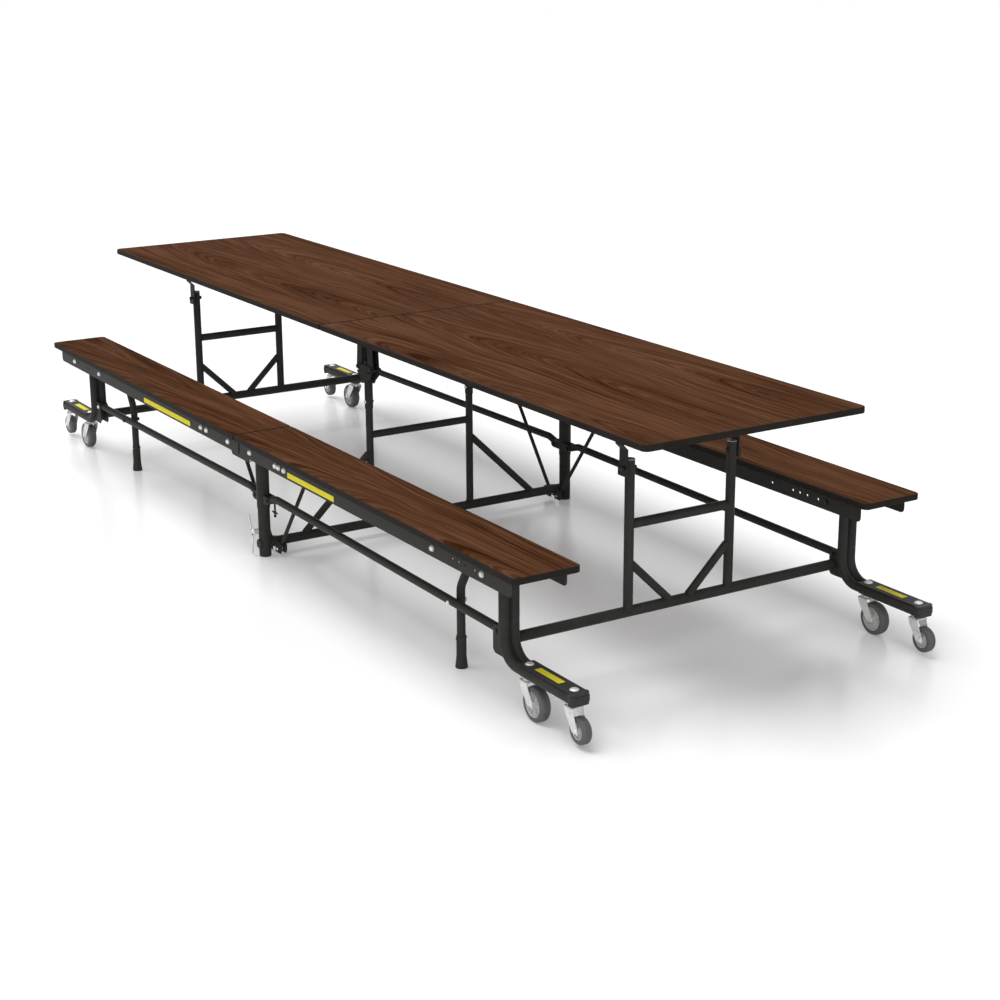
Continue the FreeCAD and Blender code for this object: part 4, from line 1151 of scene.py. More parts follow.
@dataclass
class TableHalf(HalfAssembly):
    """One table board with the rails, crossbars and pivot arms under it."""

    length_end: float = 1.829
    half_width: float = 0.381
    corner: float = 0.020
    rail: Flat = (0.1888, 0.2098)
    rail_height: float = 0.022
    rail_wall: float = 0.002
    rail_corner: float = 0.0025
    rail_soft: float = 0.0004
    rail_end: float = 1.699
    arm_thickness: float = 0.004
    arm_reach: Flat = (-0.025, 0.013)
    arm_low: float = 0.576
    arm_y: float = 0.1953
    boss: Flat = (0.005, 0.024)
    boss_soft: float = 0.0010
    step: Flat = (0.654, 0.668)
    centre_start: float = 0.01635
    centre_y: Flat = (0.18725, 0.21275)
    centre_web: float = 0.003
    centre_corners: tuple[float, ...] = (0.001, 0.001, 0.006, 0.006, 0.011, 0.011, 0.002)
    lobe: float = 0.0125
    crossbars: tuple[float, ...] = (0.150, 0.800, 1.640)
    crossbar_size: Flat = (0.030, 0.014)
    crossbar_reach: float = 0.330

    def build(self) -> None:
        """Make the board, its band and the frame below it."""
        laminate = LAMINATE_NEAR if self.half is Half.NEAR else LAMINATE_FAR
        board = Board(self.length_end, (-self.half_width, self.half_width), LAYOUT.table_height,
                      self.corner)
        for add, label, finish, node in ((board.core, "laminate", laminate, "table_top"),
                                         (board.edge, "band", EDGE_VINYL, "table_edge")):
            form = Form()
            add(form)
            self._piece(form, f"top_{label}", finish, "table", [node])
        under = Form()
        for add in (self._rail, self._end_arm, self._centre_arm):
            add(under)
        self._crossbar_parts(under, (self.rail[1], self.crossbar_reach))
        under.both_sides()
        self._crossbar_parts(under, (-self.rail[0], self.rail[0]))
        self._piece(under, "top_underframe", FRAME_PAINT, "table", ["table_frame"])

    def _box_tube(self, form: Form, low: Point, high: Point, along: bool) -> None:
        """Square tube between two corners, hollow along one axis.

        Args:
            form: Form that takes it.
            low: Lowest corner.
            high: Highest corner.
            along: Whether it runs along the table, and not across it.
        """
        far = (low[0], high[1]) if along else (high[0], low[1])
        depth = (high[0] - low[0], 0.0, 0.0) if along else (0.0, high[1] - low[1], 0.0)
        form.ring([low, (*far, low[2]), (*far, high[2]), (low[0], low[1], high[2])], self.rail_wall,
                  depth, (self.rail_corner,) * 4, self.rail_soft)

    def _rail(self, form: Form) -> None:
        """Add the rail along the board.

        Args:
            form: Form that takes it.
        """
        low = LAYOUT.table_under - self.rail_height
        self._box_tube(form, (self.centre_start, self.rail[0], low),
                       (self.rail_end, self.rail[1], LAYOUT.table_under), True)

    def _crossbar_parts(self, form: Form, span: Flat) -> None:
        """Add the parts of the crossbars in one span across the table.

        Args:
            form: Form that takes them.
            span: Where the parts begin and end.
        """
        width, height = self.crossbar_size
        for x in self.crossbars:
            start, end = about(x, width / 2.0)
            self._box_tube(form, (start, span[0], LAYOUT.table_under - height),
                           (end, span[1], LAYOUT.table_under), False)

    def _end_arm(self, form: Form) -> None:
        """Add the joggled arm that hangs beside the end frame's upright.

        Args:
            form: Form that takes it.
        """
        x0, x1 = (LAYOUT.end_frame_x + reach for reach in self.arm_reach)
        y0, y1 = self.arm_y, self.rail[1]
        thick = self.arm_thickness
        low, high = self.step
        boss_out, boss_height = self.boss
        form.block((x0, y0, self.arm_low), (x1, y0 + thick, low + OVERLAP))
        form.block((x0, y0 + thick - OVERLAP, self.arm_low),
                   (x1, y0 + thick + boss_out, self.arm_low + boss_height), self.boss_soft)
        form.plate([(x0, y0, low), (x0, y0 + thick, low - OVERLAP), (x0, y1 + thick, high),
                    (x0, y1, high + OVERLAP)], (x1 - x0, 0.0, 0.0))
        form.plate(upright_box((x0, x1), y1, (high - OVERLAP, LAYOUT.table_under)), (0.0, thick, 0.0))

    def _centre_arm(self, form: Form) -> None:
        """Add the channel arm that turns on the centre frame's clevis.

        Args:
            form: Form that takes it.
        """
        lobe = self.lobe
        start, end = self.centre_start, LAYOUT.frame_pivot_x + lobe
        top = LAYOUT.table_under - self.rail_height
        pivot = LAYOUT.table_pivot_z
        back = end - lobe * 0.8
        shoulder = pivot + lobe
        for y in (self.centre_y[0], self.centre_y[1] - self.centre_web):
            form.plate(upright(y, (start, top), (back, top), (back, shoulder + 0.008),
                               (end, pivot + 0.002), (end - 0.001, pivot - lobe),
                               (LAYOUT.frame_pivot_x - lobe, pivot - lobe), (start, shoulder)),
                       (0.0, self.centre_web, 0.0), self.centre_corners)
        form.block((start, self.centre_y[0], shoulder), (start + self.centre_web, self.centre_y[1], top))


@dataclass
class BenchHalf(HalfAssembly):
    """Both bench boards of one half, with their rails, ties, shafts and strips."""

    length_end: float = 1.7195
    width: Flat = (0.496, 0.711)
    corner: float = 0.018
    rail_depth: float = 0.050
    rail_flange: float = 0.026
    rail_start: float = 0.006
    rail_end: float = 1.6775
    rail_corner: float = 0.014
    rail_toe: float = 0.002
    ties: tuple[float, ...] = (0.230, 0.760, 1.150, 1.640)
    tie_size: Flat = (0.030, 0.004)
    tie_soft: float = 0.0008
    holes: tuple[float, ...] = (1.377, 1.409, 1.443, 1.492)
    spare_hole: float = 1.280
    hole_radius: float = 0.004
    near_heads: tuple[float, ...] = (0.275, 0.300, 0.338)
    far_heads: tuple[float, ...] = (0.260, 0.307)
    collar: float = 0.009
    head: float = 0.0095
    head_height: float = 0.007
    carrier: float = 0.0032
    leg_gap: float = 0.0345
    lug: Flat = (0.030, 0.003)
    lug_drop: float = 0.014
    lug_round: float = 0.009
    rod_head: float = 0.0075
    near_strip: Flat = (0.360, 0.677)
    far_strip: Flat = (0.402, 0.820)
    strip_z: Flat = (0.374, 0.392)
    strip_corner: float = 0.0015

    def build(self) -> None:
        """Make both benches of this half."""
        board = Board(self.length_end, self.width, LAYOUT.bench_height, self.corner)
        for side in Side:
            core, rails = Form(), Form()
            board.core(core)
            self._rails(rails, side)
            for form, label, finish, node in ((core, "laminate", LAMINATE_BENCH, "board"),
                                              (rails, "rails", FRAME_PAINT, "rails")):
                self._piece(form, f"{side.value}_seat_{label}", finish, "benches",
                            [f"bench_{node}_{side.value}"], side)
        band, shafts, nuts = Form(), Form(), Form()
        board.edge(band)
        self._shafts(shafts, nuts)
        for form in (band, shafts, nuts):
            form.both_sides()
        self._mid_shaft(shafts, nuts)
        for form, label, finish, nodes in ((band, "bands", EDGE_VINYL, ["bench_edges"]),
                                           (shafts, "shafts", ZINC, ["bench_bolts"]),
                                           (nuts, "shaft_nuts", BLACK_BOLT, [])):
            self._piece(form, f"seat_{label}", finish, "benches", nodes, Side.LEFT)
        self._strip()

    def _rails(self, form: Form, side: Side) -> None:
        """Add the two angle rails of one side, their ties and the lug of the lock rod.

        Args:
            form: Form that takes them.
            side: Side of the rails.
        """
        top = LAYOUT.bench_under
        gauge = LAYOUT.rail_gauge
        inner, outer = LAYOUT.inner_rail, LAYOUT.outer_rail
        run = (self.rail_start, self.rail_end)
        stations = self.holes + ((self.spare_hole,) if side is Side.RIGHT else ())
        for y in (outer - gauge, inner):
            form.pierced(upright_box(run, y, (top - self.rail_depth, top)),
                         [((x, y, LAYOUT.bench_pivot_z), self.hole_radius) for x in stations],
                         (0.0, gauge, 0.0), (self.rail_toe, self.rail_corner, 0.0, 0.0))
        for start, end in ((outer - self.rail_flange, outer - gauge / 2.0),
                           (inner + gauge / 2.0, inner + self.rail_flange)):
            form.block((run[0], start, top - gauge), (run[1], end, top))
        width, thick = self.tie_size
        for tie in self.ties:
            start, end = about(tie, width / 2.0)
            form.block((start, inner + gauge, top - gauge - thick), (end, outer - gauge, top - gauge),
                       self.tie_soft)
        x, z = LAYOUT.rod_top
        width, thick = self.lug
        y = LAYOUT.rod_y + LAYOUT.rod_eye + LAYOUT.slide
        form.plate(upright_box(about(x, width / 2.0), y, (z - self.lug_drop, top)), (0.0, thick, 0.0),
                   (self.lug_round, self.lug_round, 0.0, 0.0))

    def _shaft(self, form: Form, nuts: Form, x: float, gaps: Sequence[Flat]) -> None:
        """Add one cross shaft.

        Args:
            form: Form that takes the shaft.
            nuts: Form that takes its nut.
            x: Place of the shaft.
            gaps: Where each of its collars begins and ends.
        """
        z = LAYOUT.bench_pivot_z
        form.through_bolt(x, z, (LAYOUT.inner_rail, LAYOUT.outer_rail), LAYOUT.bolt,
                          self.head, self.head_height, nuts)
        for low, high in gaps:
            form.tube([(x, low, z), (x, high, z)], self.collar, steps=SMALL_STEPS)

    @property
    def _faces(self) -> Flat:
        """Facing sides of the two rails, less a sliding gap."""
        inset = LAYOUT.rail_gauge + LAYOUT.slide
        return LAYOUT.inner_rail + inset, LAYOUT.outer_rail - inset

    def _mid_shaft(self, form: Form, nuts: Form) -> None:
        """Add the one shaft that the intermediate leg turns on.

        Args:
            form: Form that takes the shaft.
            nuts: Form that takes its nut.
        """
        near_face, far_face = self._faces
        low, high = about(LAYOUT.mid_y, LAYOUT.link_gap)
        self._shaft(form, nuts, LAYOUT.mid_pivot_x, [(near_face, low), (high, far_face)])

    def _shafts(self, form: Form, nuts: Form) -> None:
        """Add the shafts that both sides have, and the other heads on the outer rail.

        Args:
            form: Form that takes the shafts.
            nuts: Form that takes their nuts.
        """
        near_face, far_face = self._faces
        slide = LAYOUT.slide
        reach = LAYOUT.leg_tube + slide
        low, high = about(LAYOUT.leg_y, self.leg_gap / 2.0)
        inset = self.carrier + slide
        self._shaft(form, nuts, LAYOUT.bench_pivot_x, [(near_face + inset, far_face - inset)])
        self._shaft(form, nuts, LAYOUT.end_leg_x, [(near_face, low - reach), (low + reach, high - reach),
                                                   (high + reach, far_face)])
        for x in self.near_heads if self.half is Half.NEAR else self.far_heads:
            form.domed_head((x, LAYOUT.outer_rail, LAYOUT.bench_pivot_z), OUTBOARD,
                            self.head, self.head_height)
        x, z = LAYOUT.rod_top
        start, end = about(LAYOUT.rod_y, LAYOUT.rod_eye + slide)
        end += self.lug[1]
        form.tube([(x, start, z), (x, end, z)], LAYOUT.small_bolt, steps=SMALL_STEPS)
        form.nut((x, end, z), OUTBOARD, self.rod_head, 0.004, LAYOUT.small_bolt * 0.9)
        form.domed_head((x, start, z), INBOARD, self.rod_head, 0.0030, 0.0005)

    def _strip(self) -> None:
        """Make the plain strip on the left outer rail, over its dark border."""
        start, end = self.near_strip if self.half is Half.NEAR else self.far_strip
        low, high = self.strip_z
        for label, finish, border, thick in (
                ("border", EDGE_VINYL, LAYOUT.strip_border, LAYOUT.border_thickness),
                ("strip", STRIP_YELLOW, 0.0, LAYOUT.strip_thickness)):
            strip = Form()
            strip.plate(upright_box((start - border, end + border), LAYOUT.outer_rail,
                                    (low - border, high + border)),
                        (0.0, thick, 0.0), self.strip_corner, 0.0)
            self._piece(strip, f"seat_{label}", finish, "benches", [], Side.LEFT)


@dataclass
class CentreFrame:
    """Posts, truss and brackets that both halves hinge on."""

    sleeve: float = 0.022
    sleeve_wall: float = 0.0016
    post: float = 0.02035
    sleeve_span: Flat = (0.170, 0.408)
    post_top: float = 0.230
    glide: float = 0.006
    cross_z: float = 0.045
    cross_end: float = 0.63235
    cap: float = 0.002
    upright_y: float = 0.200
    height_sleeve: float = 0.01435
    height_sleeve_wall: float = 0.0016
    height_sleeve_span: Flat = (0.456, 0.625)
    upright_lap: float = 0.060
    bar_z: float = 0.362
    brace_top: float = 0.297
    brace_foot: float = 0.460
    carrier: float = 0.0032
    carrier_round: float = 0.017
    carrier_low: float = 0.353
    carrier_waist: Flat = (0.062, 0.075)
    carrier_notch: float = 0.003
    lug_round: float = 0.014
    lug_thickness: float = 0.0035
    clevis_round: float = 0.0125
    clevis_thickness: float = 0.003
    clevis_waist: Flat = (0.016, 0.022)
    clevis_drop: float = 0.048
    clevis_notch: Flat = (0.003, 0.004)
    catch_thickness: float = 0.003
    catch_gap: float = 0.0015
    catch_levels: tuple[float, ...] = (0.012, 0.024, 0.046, 0.058)
    catch_reach: float = 0.020
    catch_cut: float = 0.010
    catch_pin: Flat = (0.025, 0.024)
    catch_roller: float = 0.0065
    screw_x: float = 0.032
    screw_length: float = 0.054
    screw_pitch: float = 0.002
    screw_radii: Flat = (0.0029, 0.0035)
    screw_ball: float = 0.005
    tommy: Flat = (0.019, 0.0025)
    height_bolt: Flat = (0.006, 0.0034)
    height_bolt_rise: float = 0.024
    latch: Flat = (-0.010, 0.088)
    latch_stud: float = 0.006
    latch_standoff: float = 0.015
    latch_thickness: float = 0.004
    latch_soft: float = 0.0008
    latch_hub: float = 0.0138

    def build(self) -> None:
        """Make every piece of the centre frame."""
        self._make("centre_post_tubes", FRAME_PAINT, ["centre_posts"], 2, self._post)
        self._make("centre_glides_and_caps", CAP_PLASTIC, [], 1, self._glides_and_cap)
        self._make("centre_truss_tubes", FRAME_PAINT, ["centre_truss"], 1, self._truss)
        self._make("centre_bracket_plates", FRAME_PAINT, ["centre_brackets"], 2, self._carrier,
                   self._lugs, self._clevis)
        self._screw()
        self._make("centre_pivot_bolts", BLACK_BOLT, ["centre_bolts"], 4, self._bolts)
        self._make("centre_height_bolts", ZINC, [], 2, self._height_nubs)
        self._latch_stud()
        self._make("centre_catch_plates", FRAME_PAINT, ["base_brackets"], 4, self._catches)
        self._make("centre_catch_rollers", ZINC, [], 4, self._rollers)
        self._latch_lever()

    @staticmethod
    def _make(name: str, finish: Finish, nodes: Sequence[str], places: int,
              *adders: Callable[[Form], None]) -> None:
        """Make one piece of the centre frame.

        Args:
            name: Name of the piece.
            finish: What it is made of.
            nodes: Nodes that it stands for.
            places: 4 where it is in every quarter, 2 where it is on both sides, otherwise 1.
            adders: Methods that add its shapes.
        """
        form = Form()
        for add in adders:
            add(form)
        if places == 4:
            form.reflect(across_x=-1, keep=True)
        if places > 1:
            form.both_sides()
        form.piece(name, finish, "centre_frame", nodes)

    def _post(self, form: Form) -> None:
        """Add one post's sleeve and lower tube.

        Args:
            form: Form that takes them.
        """
        y = LAYOUT.post_y
        low, high = self.sleeve_span
        form.tube([(0.0, y, low), (0.0, y, high)], self.sleeve, self.sleeve_wall, soft=0.0006)
        form.tube([(0.0, y, self.glide), (0.0, y, self.post_top)], self.post, LAYOUT.wall)

    def _glides_and_cap(self, form: Form) -> None:
        """Add the glides under both posts, and the cap on the left end of the cross tube.

        Args:
            form: Form that takes them.
        """
        post, glide, lip = self.post, self.glide, 0.0015
        form.turned([(0.0, 0.0), (post - lip, 0.0), (post, lip), (post, glide), (0.0, glide)],
                    (0.0, LAYOUT.post_y, 0.0), UP)
        form.both_sides()
        radius, cap, lip = LAYOUT.cross_tube, self.cap, 0.0010
        form.turned([(0.0, 0.0), (radius, 0.0), (radius, cap - lip), (radius - lip, cap), (0.0, cap)],
                    (0.0, -self.cross_end, self.cross_z), INBOARD)

    def _truss(self, form: Form) -> None:
        """Add the uprights, braces, crossbar and cross tube.

        Args:
            form: Form that takes them.
        """
        y = self.upright_y
        tube = LAYOUT.tube
        inset = tube * 0.6
        low, high = self.height_sleeve_span
        form.tube([(0.0, y, self.cross_z + LAYOUT.cross_tube * 0.6), (0.0, y, low + self.upright_lap)],
                  tube, LAYOUT.wall)
        form.tube([(0.0, y, low), (0.0, y, high)], self.height_sleeve, self.height_sleeve_wall, soft=0.0005)
        form.tube([(0.0, y + inset, self.brace_top), (0.0, self.brace_foot, self.cross_z + 0.010)],
                  LAYOUT.brace, LAYOUT.wall)
        form.turned([(inset, 0.0), (tube + 0.0012, 0.0), (tube + 0.0022, -0.0008),
                     (tube + 0.0012, -0.0030), (inset, -0.0030)],
                    (0.0, y, self.cross_z + LAYOUT.cross_tube + 0.0022), UP)
        form.both_sides()
        form.tube([(0.0, inset - y, self.bar_z), (0.0, y - inset, self.bar_z)], tube, LAYOUT.wall)
        form.tube([(0.0, -self.cross_end, self.cross_z),
                   (0.0, LAYOUT.post_y - self.post * 0.8, self.cross_z)], LAYOUT.cross_tube,
                  LAYOUT.cross_wall)

    def _carrier(self, form: Form) -> None:
        """Add the plates that carry both bench halves on one post.

        Args:
            form: Form that takes them.
        """
        reach = LAYOUT.bench_pivot_x + self.carrier_round
        low, top = about(LAYOUT.bench_pivot_z, self.carrier_round)
        waist, hip = self.carrier_waist
        floor = self.carrier_low
        inset = LAYOUT.rail_gauge + LAYOUT.slide
        inner = LAYOUT.inner_rail + inset
        outer = LAYOUT.outer_rail - inset - self.carrier
        end = self.carrier_round * 0.98
        for y in (inner, outer):
            form.plate(upright(y, (-reach, top), (-reach, low), (-hip, low), (-waist, floor),
                               (waist, floor), (hip, low), (reach, low), (reach, top)),
                       (0.0, self.carrier, 0.0), (end, end, *(self.carrier_notch,) * 4, end, end))
        start = inner + self.carrier
        steps = 14
        for sign in (1, -1):
            outline = [(sign * waist, start, floor), (sign * waist, outer, floor), (0.0, outer, floor)]
            for step in range(steps + 1):
                turn = math.radians(90.0 - 180.0 * step / steps)
                outline.append((sign * self.sleeve * math.cos(turn),
                                LAYOUT.post_y + self.sleeve * math.sin(turn), floor))
            outline.append((0.0, start, floor))
            form.plate(outline, (0.0, 0.0, self.carrier), 0.0, 0.0)

    def _lugs(self, form: Form) -> None:
        """Add the lugs that carry the lower links on one post.

        Args:
            form: Form that takes them.
        """
        thick, size = self.lug_thickness, self.lug_round
        rounds = (0.0, size * 0.97, size * 0.97, 0.0)
        for y in (LAYOUT.leg_y - LAYOUT.link_gap - thick, LAYOUT.leg_y + LAYOUT.link_gap):
            side = y + thick / 2.0 - LAYOUT.post_y
            start = math.sqrt(max(self.sleeve ** 2 - side ** 2, 0.0)) - OVERLAP
            end = LAYOUT.frame_pivot_x + size
            for sign in (1, -1):
                form.plate(upright_box((sign * start, sign * end), y, about(LAYOUT.link_z, size)),
                           (0.0, thick, 0.0), rounds)

    @property
    def _clevis_faces(self) -> Flat:
        """Outer faces of the two clevis plates on one upright."""
        return about(self.upright_y, self.height_sleeve - OVERLAP + self.clevis_thickness)

    def _clevis(self, form: Form) -> None:
        """Add the two plates that carry both table halves on one upright.

        Args:
            form: Form that takes them.
        """
        end = LAYOUT.frame_pivot_x + self.clevis_round
        low, top = about(LAYOUT.table_pivot_z, self.clevis_round)
        foot = LAYOUT.table_pivot_z - self.clevis_drop
        waist, hip = self.clevis_waist
        corner = self.clevis_round * 0.96
        shallow, deep = self.clevis_notch
        inner, outer = self._clevis_faces
        for y in (inner, outer - self.clevis_thickness):
            form.plate(upright(y, (-end, top), (-end, low), (-hip, low), (-waist, foot), (waist, foot),
                               (hip, low), (end, low), (end, top)), (0.0, self.clevis_thickness, 0.0),
                       (corner, corner, shallow, deep, deep, shallow, corner, corner))

    def _screw(self) -> None:
        """Make the adjusting screw on the left inner lug."""
        x = self.screw_x
        y = LAYOUT.leg_y - LAYOUT.link_gap - self.lug_thickness - 0.005
        top = LAYOUT.link_z - self.lug_round + 0.006
        low = top - self.screw_length
        root, crest = self.screw_radii
        shank = self.screw_length - 0.004
        screw = Form()
        screw.block((x - 0.006, y - 0.006, top - 0.004), (x + 0.006, y + 0.005, top))
        thread = [(0.0, 0.0), (0.0032, 0.0)]
        for turn in range(25):
            level = self.screw_pitch * turn
            thread += [(crest, level + 0.0004), (root, level + 0.0014)]
        thread += [(root, shank), (0.0, shank)]
        turns = [math.radians(15.0 * step) for step in range(13)]
        ball = [(max(self.screw_ball * math.sin(turn), 0.0), -self.screw_ball * math.cos(turn))
                for turn in turns]
        for profile in (thread, ball):
            screw.turned(profile, (x, y, low), UP, SMALL_STEPS)
        screw.nut((x, y, low + 0.010), UP, 0.006, 0.005)
        length, radius = self.tommy
        start, end = about(x, length)
        screw.tube([(start, y, low + 0.0125), (end, y, low + 0.0125)], radius, steps=SMALL_STEPS)
        screw.reflect(across_y=-1)
        screw.piece("centre_adjusting_screw", FRAME_PAINT, "centre_frame", [])

    def _bolts(self, form: Form) -> None:
        """Add the pivot bolts of one link and one table half.

        Args:
            form: Form that takes them.
        """
        for z, span in ((LAYOUT.link_z, about(LAYOUT.leg_y, LAYOUT.link_gap + self.lug_thickness)),
                        (LAYOUT.table_pivot_z, self._clevis_faces)):
            form.through_bolt(LAYOUT.frame_pivot_x, z, span, LAYOUT.bolt, *LAYOUT.pivot_head)

    def _height_nubs(self, form: Form) -> None:
        """Add the height bolts of one upright.

        Args:
            form: Form that takes them.
        """
        z = self.height_sleeve_span[0] + self.height_bolt_rise
        low, high = about(self.upright_y, self.height_sleeve - 0.0006)
        for y, along in ((high, OUTBOARD), (low, INBOARD)):
            form.domed_head((0.0, y, z), along, *self.height_bolt)

    def _latch_stud(self) -> None:
        """Make the stud that the latch lever turns on."""
        x, z = self.latch
        radius = self.latch_stud
        start = LAYOUT.post_y + math.sqrt(self.post ** 2 - x ** 2) - 0.0015
        end = LAYOUT.post_y + self.post + self.latch_standoff
        far = end + self.latch_thickness + 2.0 * LAYOUT.slide
        stud = Form()
        for low, high, size in ((start, end, radius + 0.003), (end, far + OVERLAP, radius)):
            stud.tube([(x, low, z), (x, high, z)], size, steps=SMALL_STEPS)
        stud.domed_head((x, far, z), OUTBOARD, radius + 0.002, 0.0036, 0.0004)
        stud.reflect(across_y=-1)
        stud.piece("latch_stud_pin", ZINC, "centre_frame", [])

    def _latch_lever(self) -> None:
        """Make the pressed latch lever: blade below, tail above and hub between them."""
        x, z = self.latch
        y = LAYOUT.post_y + self.post + self.latch_standoff + LAYOUT.slide
        thick, soft = self.latch_thickness, self.latch_soft
        blade = ((-0.011, 0.0), (-0.020, -0.040), (-0.014, -0.082), (-0.009, -0.082), (-0.002, -0.040),
                 (0.008, 0.0))
        tail = ((-0.012, 0.0), (-0.034, 0.052), (-0.027, 0.052), (-0.001, 0.0))
        lever = Form()
        for outline, corners in ((blade, (0.001, 0.008, 0.002, 0.002, 0.008, 0.001)),
                                 (tail, (0.001, 0.003, 0.003, 0.001))):
            lever.plate(upright(y, *((x + along, z + rise) for along, rise in outline)),
                        (0.0, thick, 0.0), corners, soft)
        bore = self.latch_stud + LAYOUT.bore_slack
        hub = self.latch_hub
        lever.turned([(bore, 0.0), (hub - soft, 0.0), (hub, soft), (hub, thick - soft),
                      (hub - soft, thick), (bore, thick), (bore, 0.0)], (x, y, z), OUTBOARD)
        lever.reflect(across_y=-1)
        lever.piece("latch_pressed_lever", ZINC, "latch_lever", ["latch_lever"])

    def _catches(self, form: Form) -> None:
        """Add the two cheek plates that one lock rod drops between.

        Args:
            form: Form that takes them.
        """
        reach = LAYOUT.rod + self.catch_gap
        start = LAYOUT.cross_tube - 0.004
        end = LAYOUT.rod_foot[0] + self.catch_reach
        foot, toe, knee, top = self.catch_levels
        for y in (LAYOUT.rod_y - reach - self.catch_thickness, LAYOUT.rod_y + reach):
            form.plate(upright(y, (start, foot), (end - self.catch_cut, foot), (end, toe), (end, knee),
                               (start, top)), (0.0, self.catch_thickness, 0.0),
                       (0.0, 0.004, 0.004, 0.005, 0.0))

    def _rollers(self, form: Form) -> None:
        """Add the roller between one pair of cheek plates, on its pin.

        Args:
            form: Form that takes it.
        """
        x, z = self.catch_pin
        reach = LAYOUT.rod + self.catch_gap
        low, high = about(LAYOUT.rod_y, reach)
        form.tube([(x, low, z), (x, high, z)], self.catch_roller, steps=SMALL_STEPS)
        for along, seat, radius, height in (
                (OUTBOARD, high + self.catch_thickness, 0.006, 0.0035),
                (INBOARD, low - self.catch_thickness, 0.004, 0.0005)):
            form.domed_head((x, seat, z), along, radius, height, 0.0004)


@dataclass
class LowerLinks(HalfAssembly):
    """The two long lower links of one half."""

    crank: Flat = (0.096, 0.014)
    bend: float = 0.040

    def build(self) -> None:
        """Make both links."""
        z = LAYOUT.link_z
        y = LAYOUT.leg_y
        crank_x, rise = self.crank
        links = Form()
        links.tube([(LAYOUT.frame_pivot_x, y, z), (crank_x, y, z + rise), (LAYOUT.end_frame_x, y, z)],
                   LAYOUT.tube, 0.0, self.bend)
        for x in (LAYOUT.frame_pivot_x, LAYOUT.end_frame_x):
            links.eye((x, y, z), LAYOUT.link_eye, LAYOUT.link_eye_half, LAYOUT.bolt)
        links.both_sides()
        self._piece(links, "lower_link_tubes", FRAME_PAINT, "links", ["links"])


@dataclass
class LockRods(HalfAssembly):
    """The two thin lock rods of one half."""

    eye: float = 0.0095

    def build(self) -> None:
        """Make both rods."""
        y = LAYOUT.rod_y
        top = Vector((LAYOUT.rod_top[0], y, LAYOUT.rod_top[1]))
        foot = Vector((LAYOUT.rod_foot[0], y, LAYOUT.rod_foot[1]))
        start = top + (foot - top).normalized() * self.eye * 0.8
        rods = Form()
        rods.tube([tuple(start), tuple(foot)], LAYOUT.rod, soft=0.0012)
        rods.eye(tuple(top), self.eye, LAYOUT.rod_eye, LAYOUT.small_bolt)
        rods.both_sides()
        self._piece(rods, "lock_rod_pair", FRAME_PAINT, "lock_rods", ["lock_rods"])


@dataclass
class MidLeg(HalfAssembly):
    """The intermediate leg under the left bench of one half, with its foot and bolts."""

    shoulder_z: float = 0.312
    knee_z: float = 0.245
    bend: float = 0.055
    foot: float = 0.040
    foot_radius: float = 0.0185
    sleeve: float = 0.0148
    sleeve_wall: float = 0.002
    sleeve_top: float = 0.098
    height_bolt_z: float = 0.090
    height_bolt: tuple[float, float, float] = (0.005, 0.0030, 0.0006)
    link_head: Flat = (0.007, 0.004)

    def build(self) -> None:
        """Make the leg, its foot and its bolts."""
        y = LAYOUT.mid_y
        x = LAYOUT.mid_link_x
        top, z = LAYOUT.mid_pivot_x, LAYOUT.bench_pivot_z
        leg, foot, link_bolt, height_bolts = Form(), Form(), Form(), Form()
        leg.tube([(top, y, z), (top, y, self.shoulder_z), (x, y, self.knee_z), (x, y, self.foot)],
                 LAYOUT.tube, 0.0, self.bend)
        leg.eye((top, y, z), LAYOUT.link_eye, LAYOUT.link_eye_half, LAYOUT.bolt)
        leg.tube([(x, y, self.foot), (x, y, self.sleeve_top)], self.sleeve, self.sleeve_wall, soft=0.0005)
        self._foot(foot)
        gap = LAYOUT.link_gap
        link_bolt.through_bolt(x, LAYOUT.link_z, (y - LAYOUT.tube, LAYOUT.leg_y + gap),
                               LAYOUT.small_bolt, *self.link_head)
        link_bolt.tube([(x, y + gap, LAYOUT.link_z), (x, LAYOUT.leg_y - gap, LAYOUT.link_z)],
                       self.link_head[0], steps=SMALL_STEPS)
        low, high = about(y, self.sleeve - 0.0005)
        for seat, along in ((high, OUTBOARD), (low, INBOARD)):
            height_bolts.domed_head((x, seat, self.height_bolt_z), along, *self.height_bolt)
        near = self.half is Half.NEAR
        for form, label, finish, nodes in (
                (leg, "tube", FRAME_PAINT, ["mid_leg"]), (foot, "boot", FOOT_RUBBER, ["mid_foot"]),
                (link_bolt, "link_bolt", ZINC if near else BLACK_BOLT, ["leg_bolts"]),
                (height_bolts, "height_bolts", BLACK_BOLT if near else ZINC, [])):
            self._piece(form, f"mid_leg_{label}", finish, "mid_leg", nodes, Side.LEFT)

    def _foot(self, form: Form) -> None:
        """Add the flared rubber foot with its flat tread.

        Args:
            form: Form that takes it.
        """
        wide = self.foot_radius
        form.turned([(0.0, 0.0), (wide - 0.0018, 0.0), (wide - 0.0006, 0.0006), (wide - 0.0001, 0.0020),
                     (wide - 0.0004, 0.0060), (wide - 0.0012, 0.0120), (self.sleeve + 0.0003, 0.0330),
                     (self.sleeve, 0.0385), (self.sleeve - 0.0006, self.foot), (0.0, self.foot)],
                    (LAYOUT.mid_link_x, LAYOUT.mid_y, 0.0), UP)


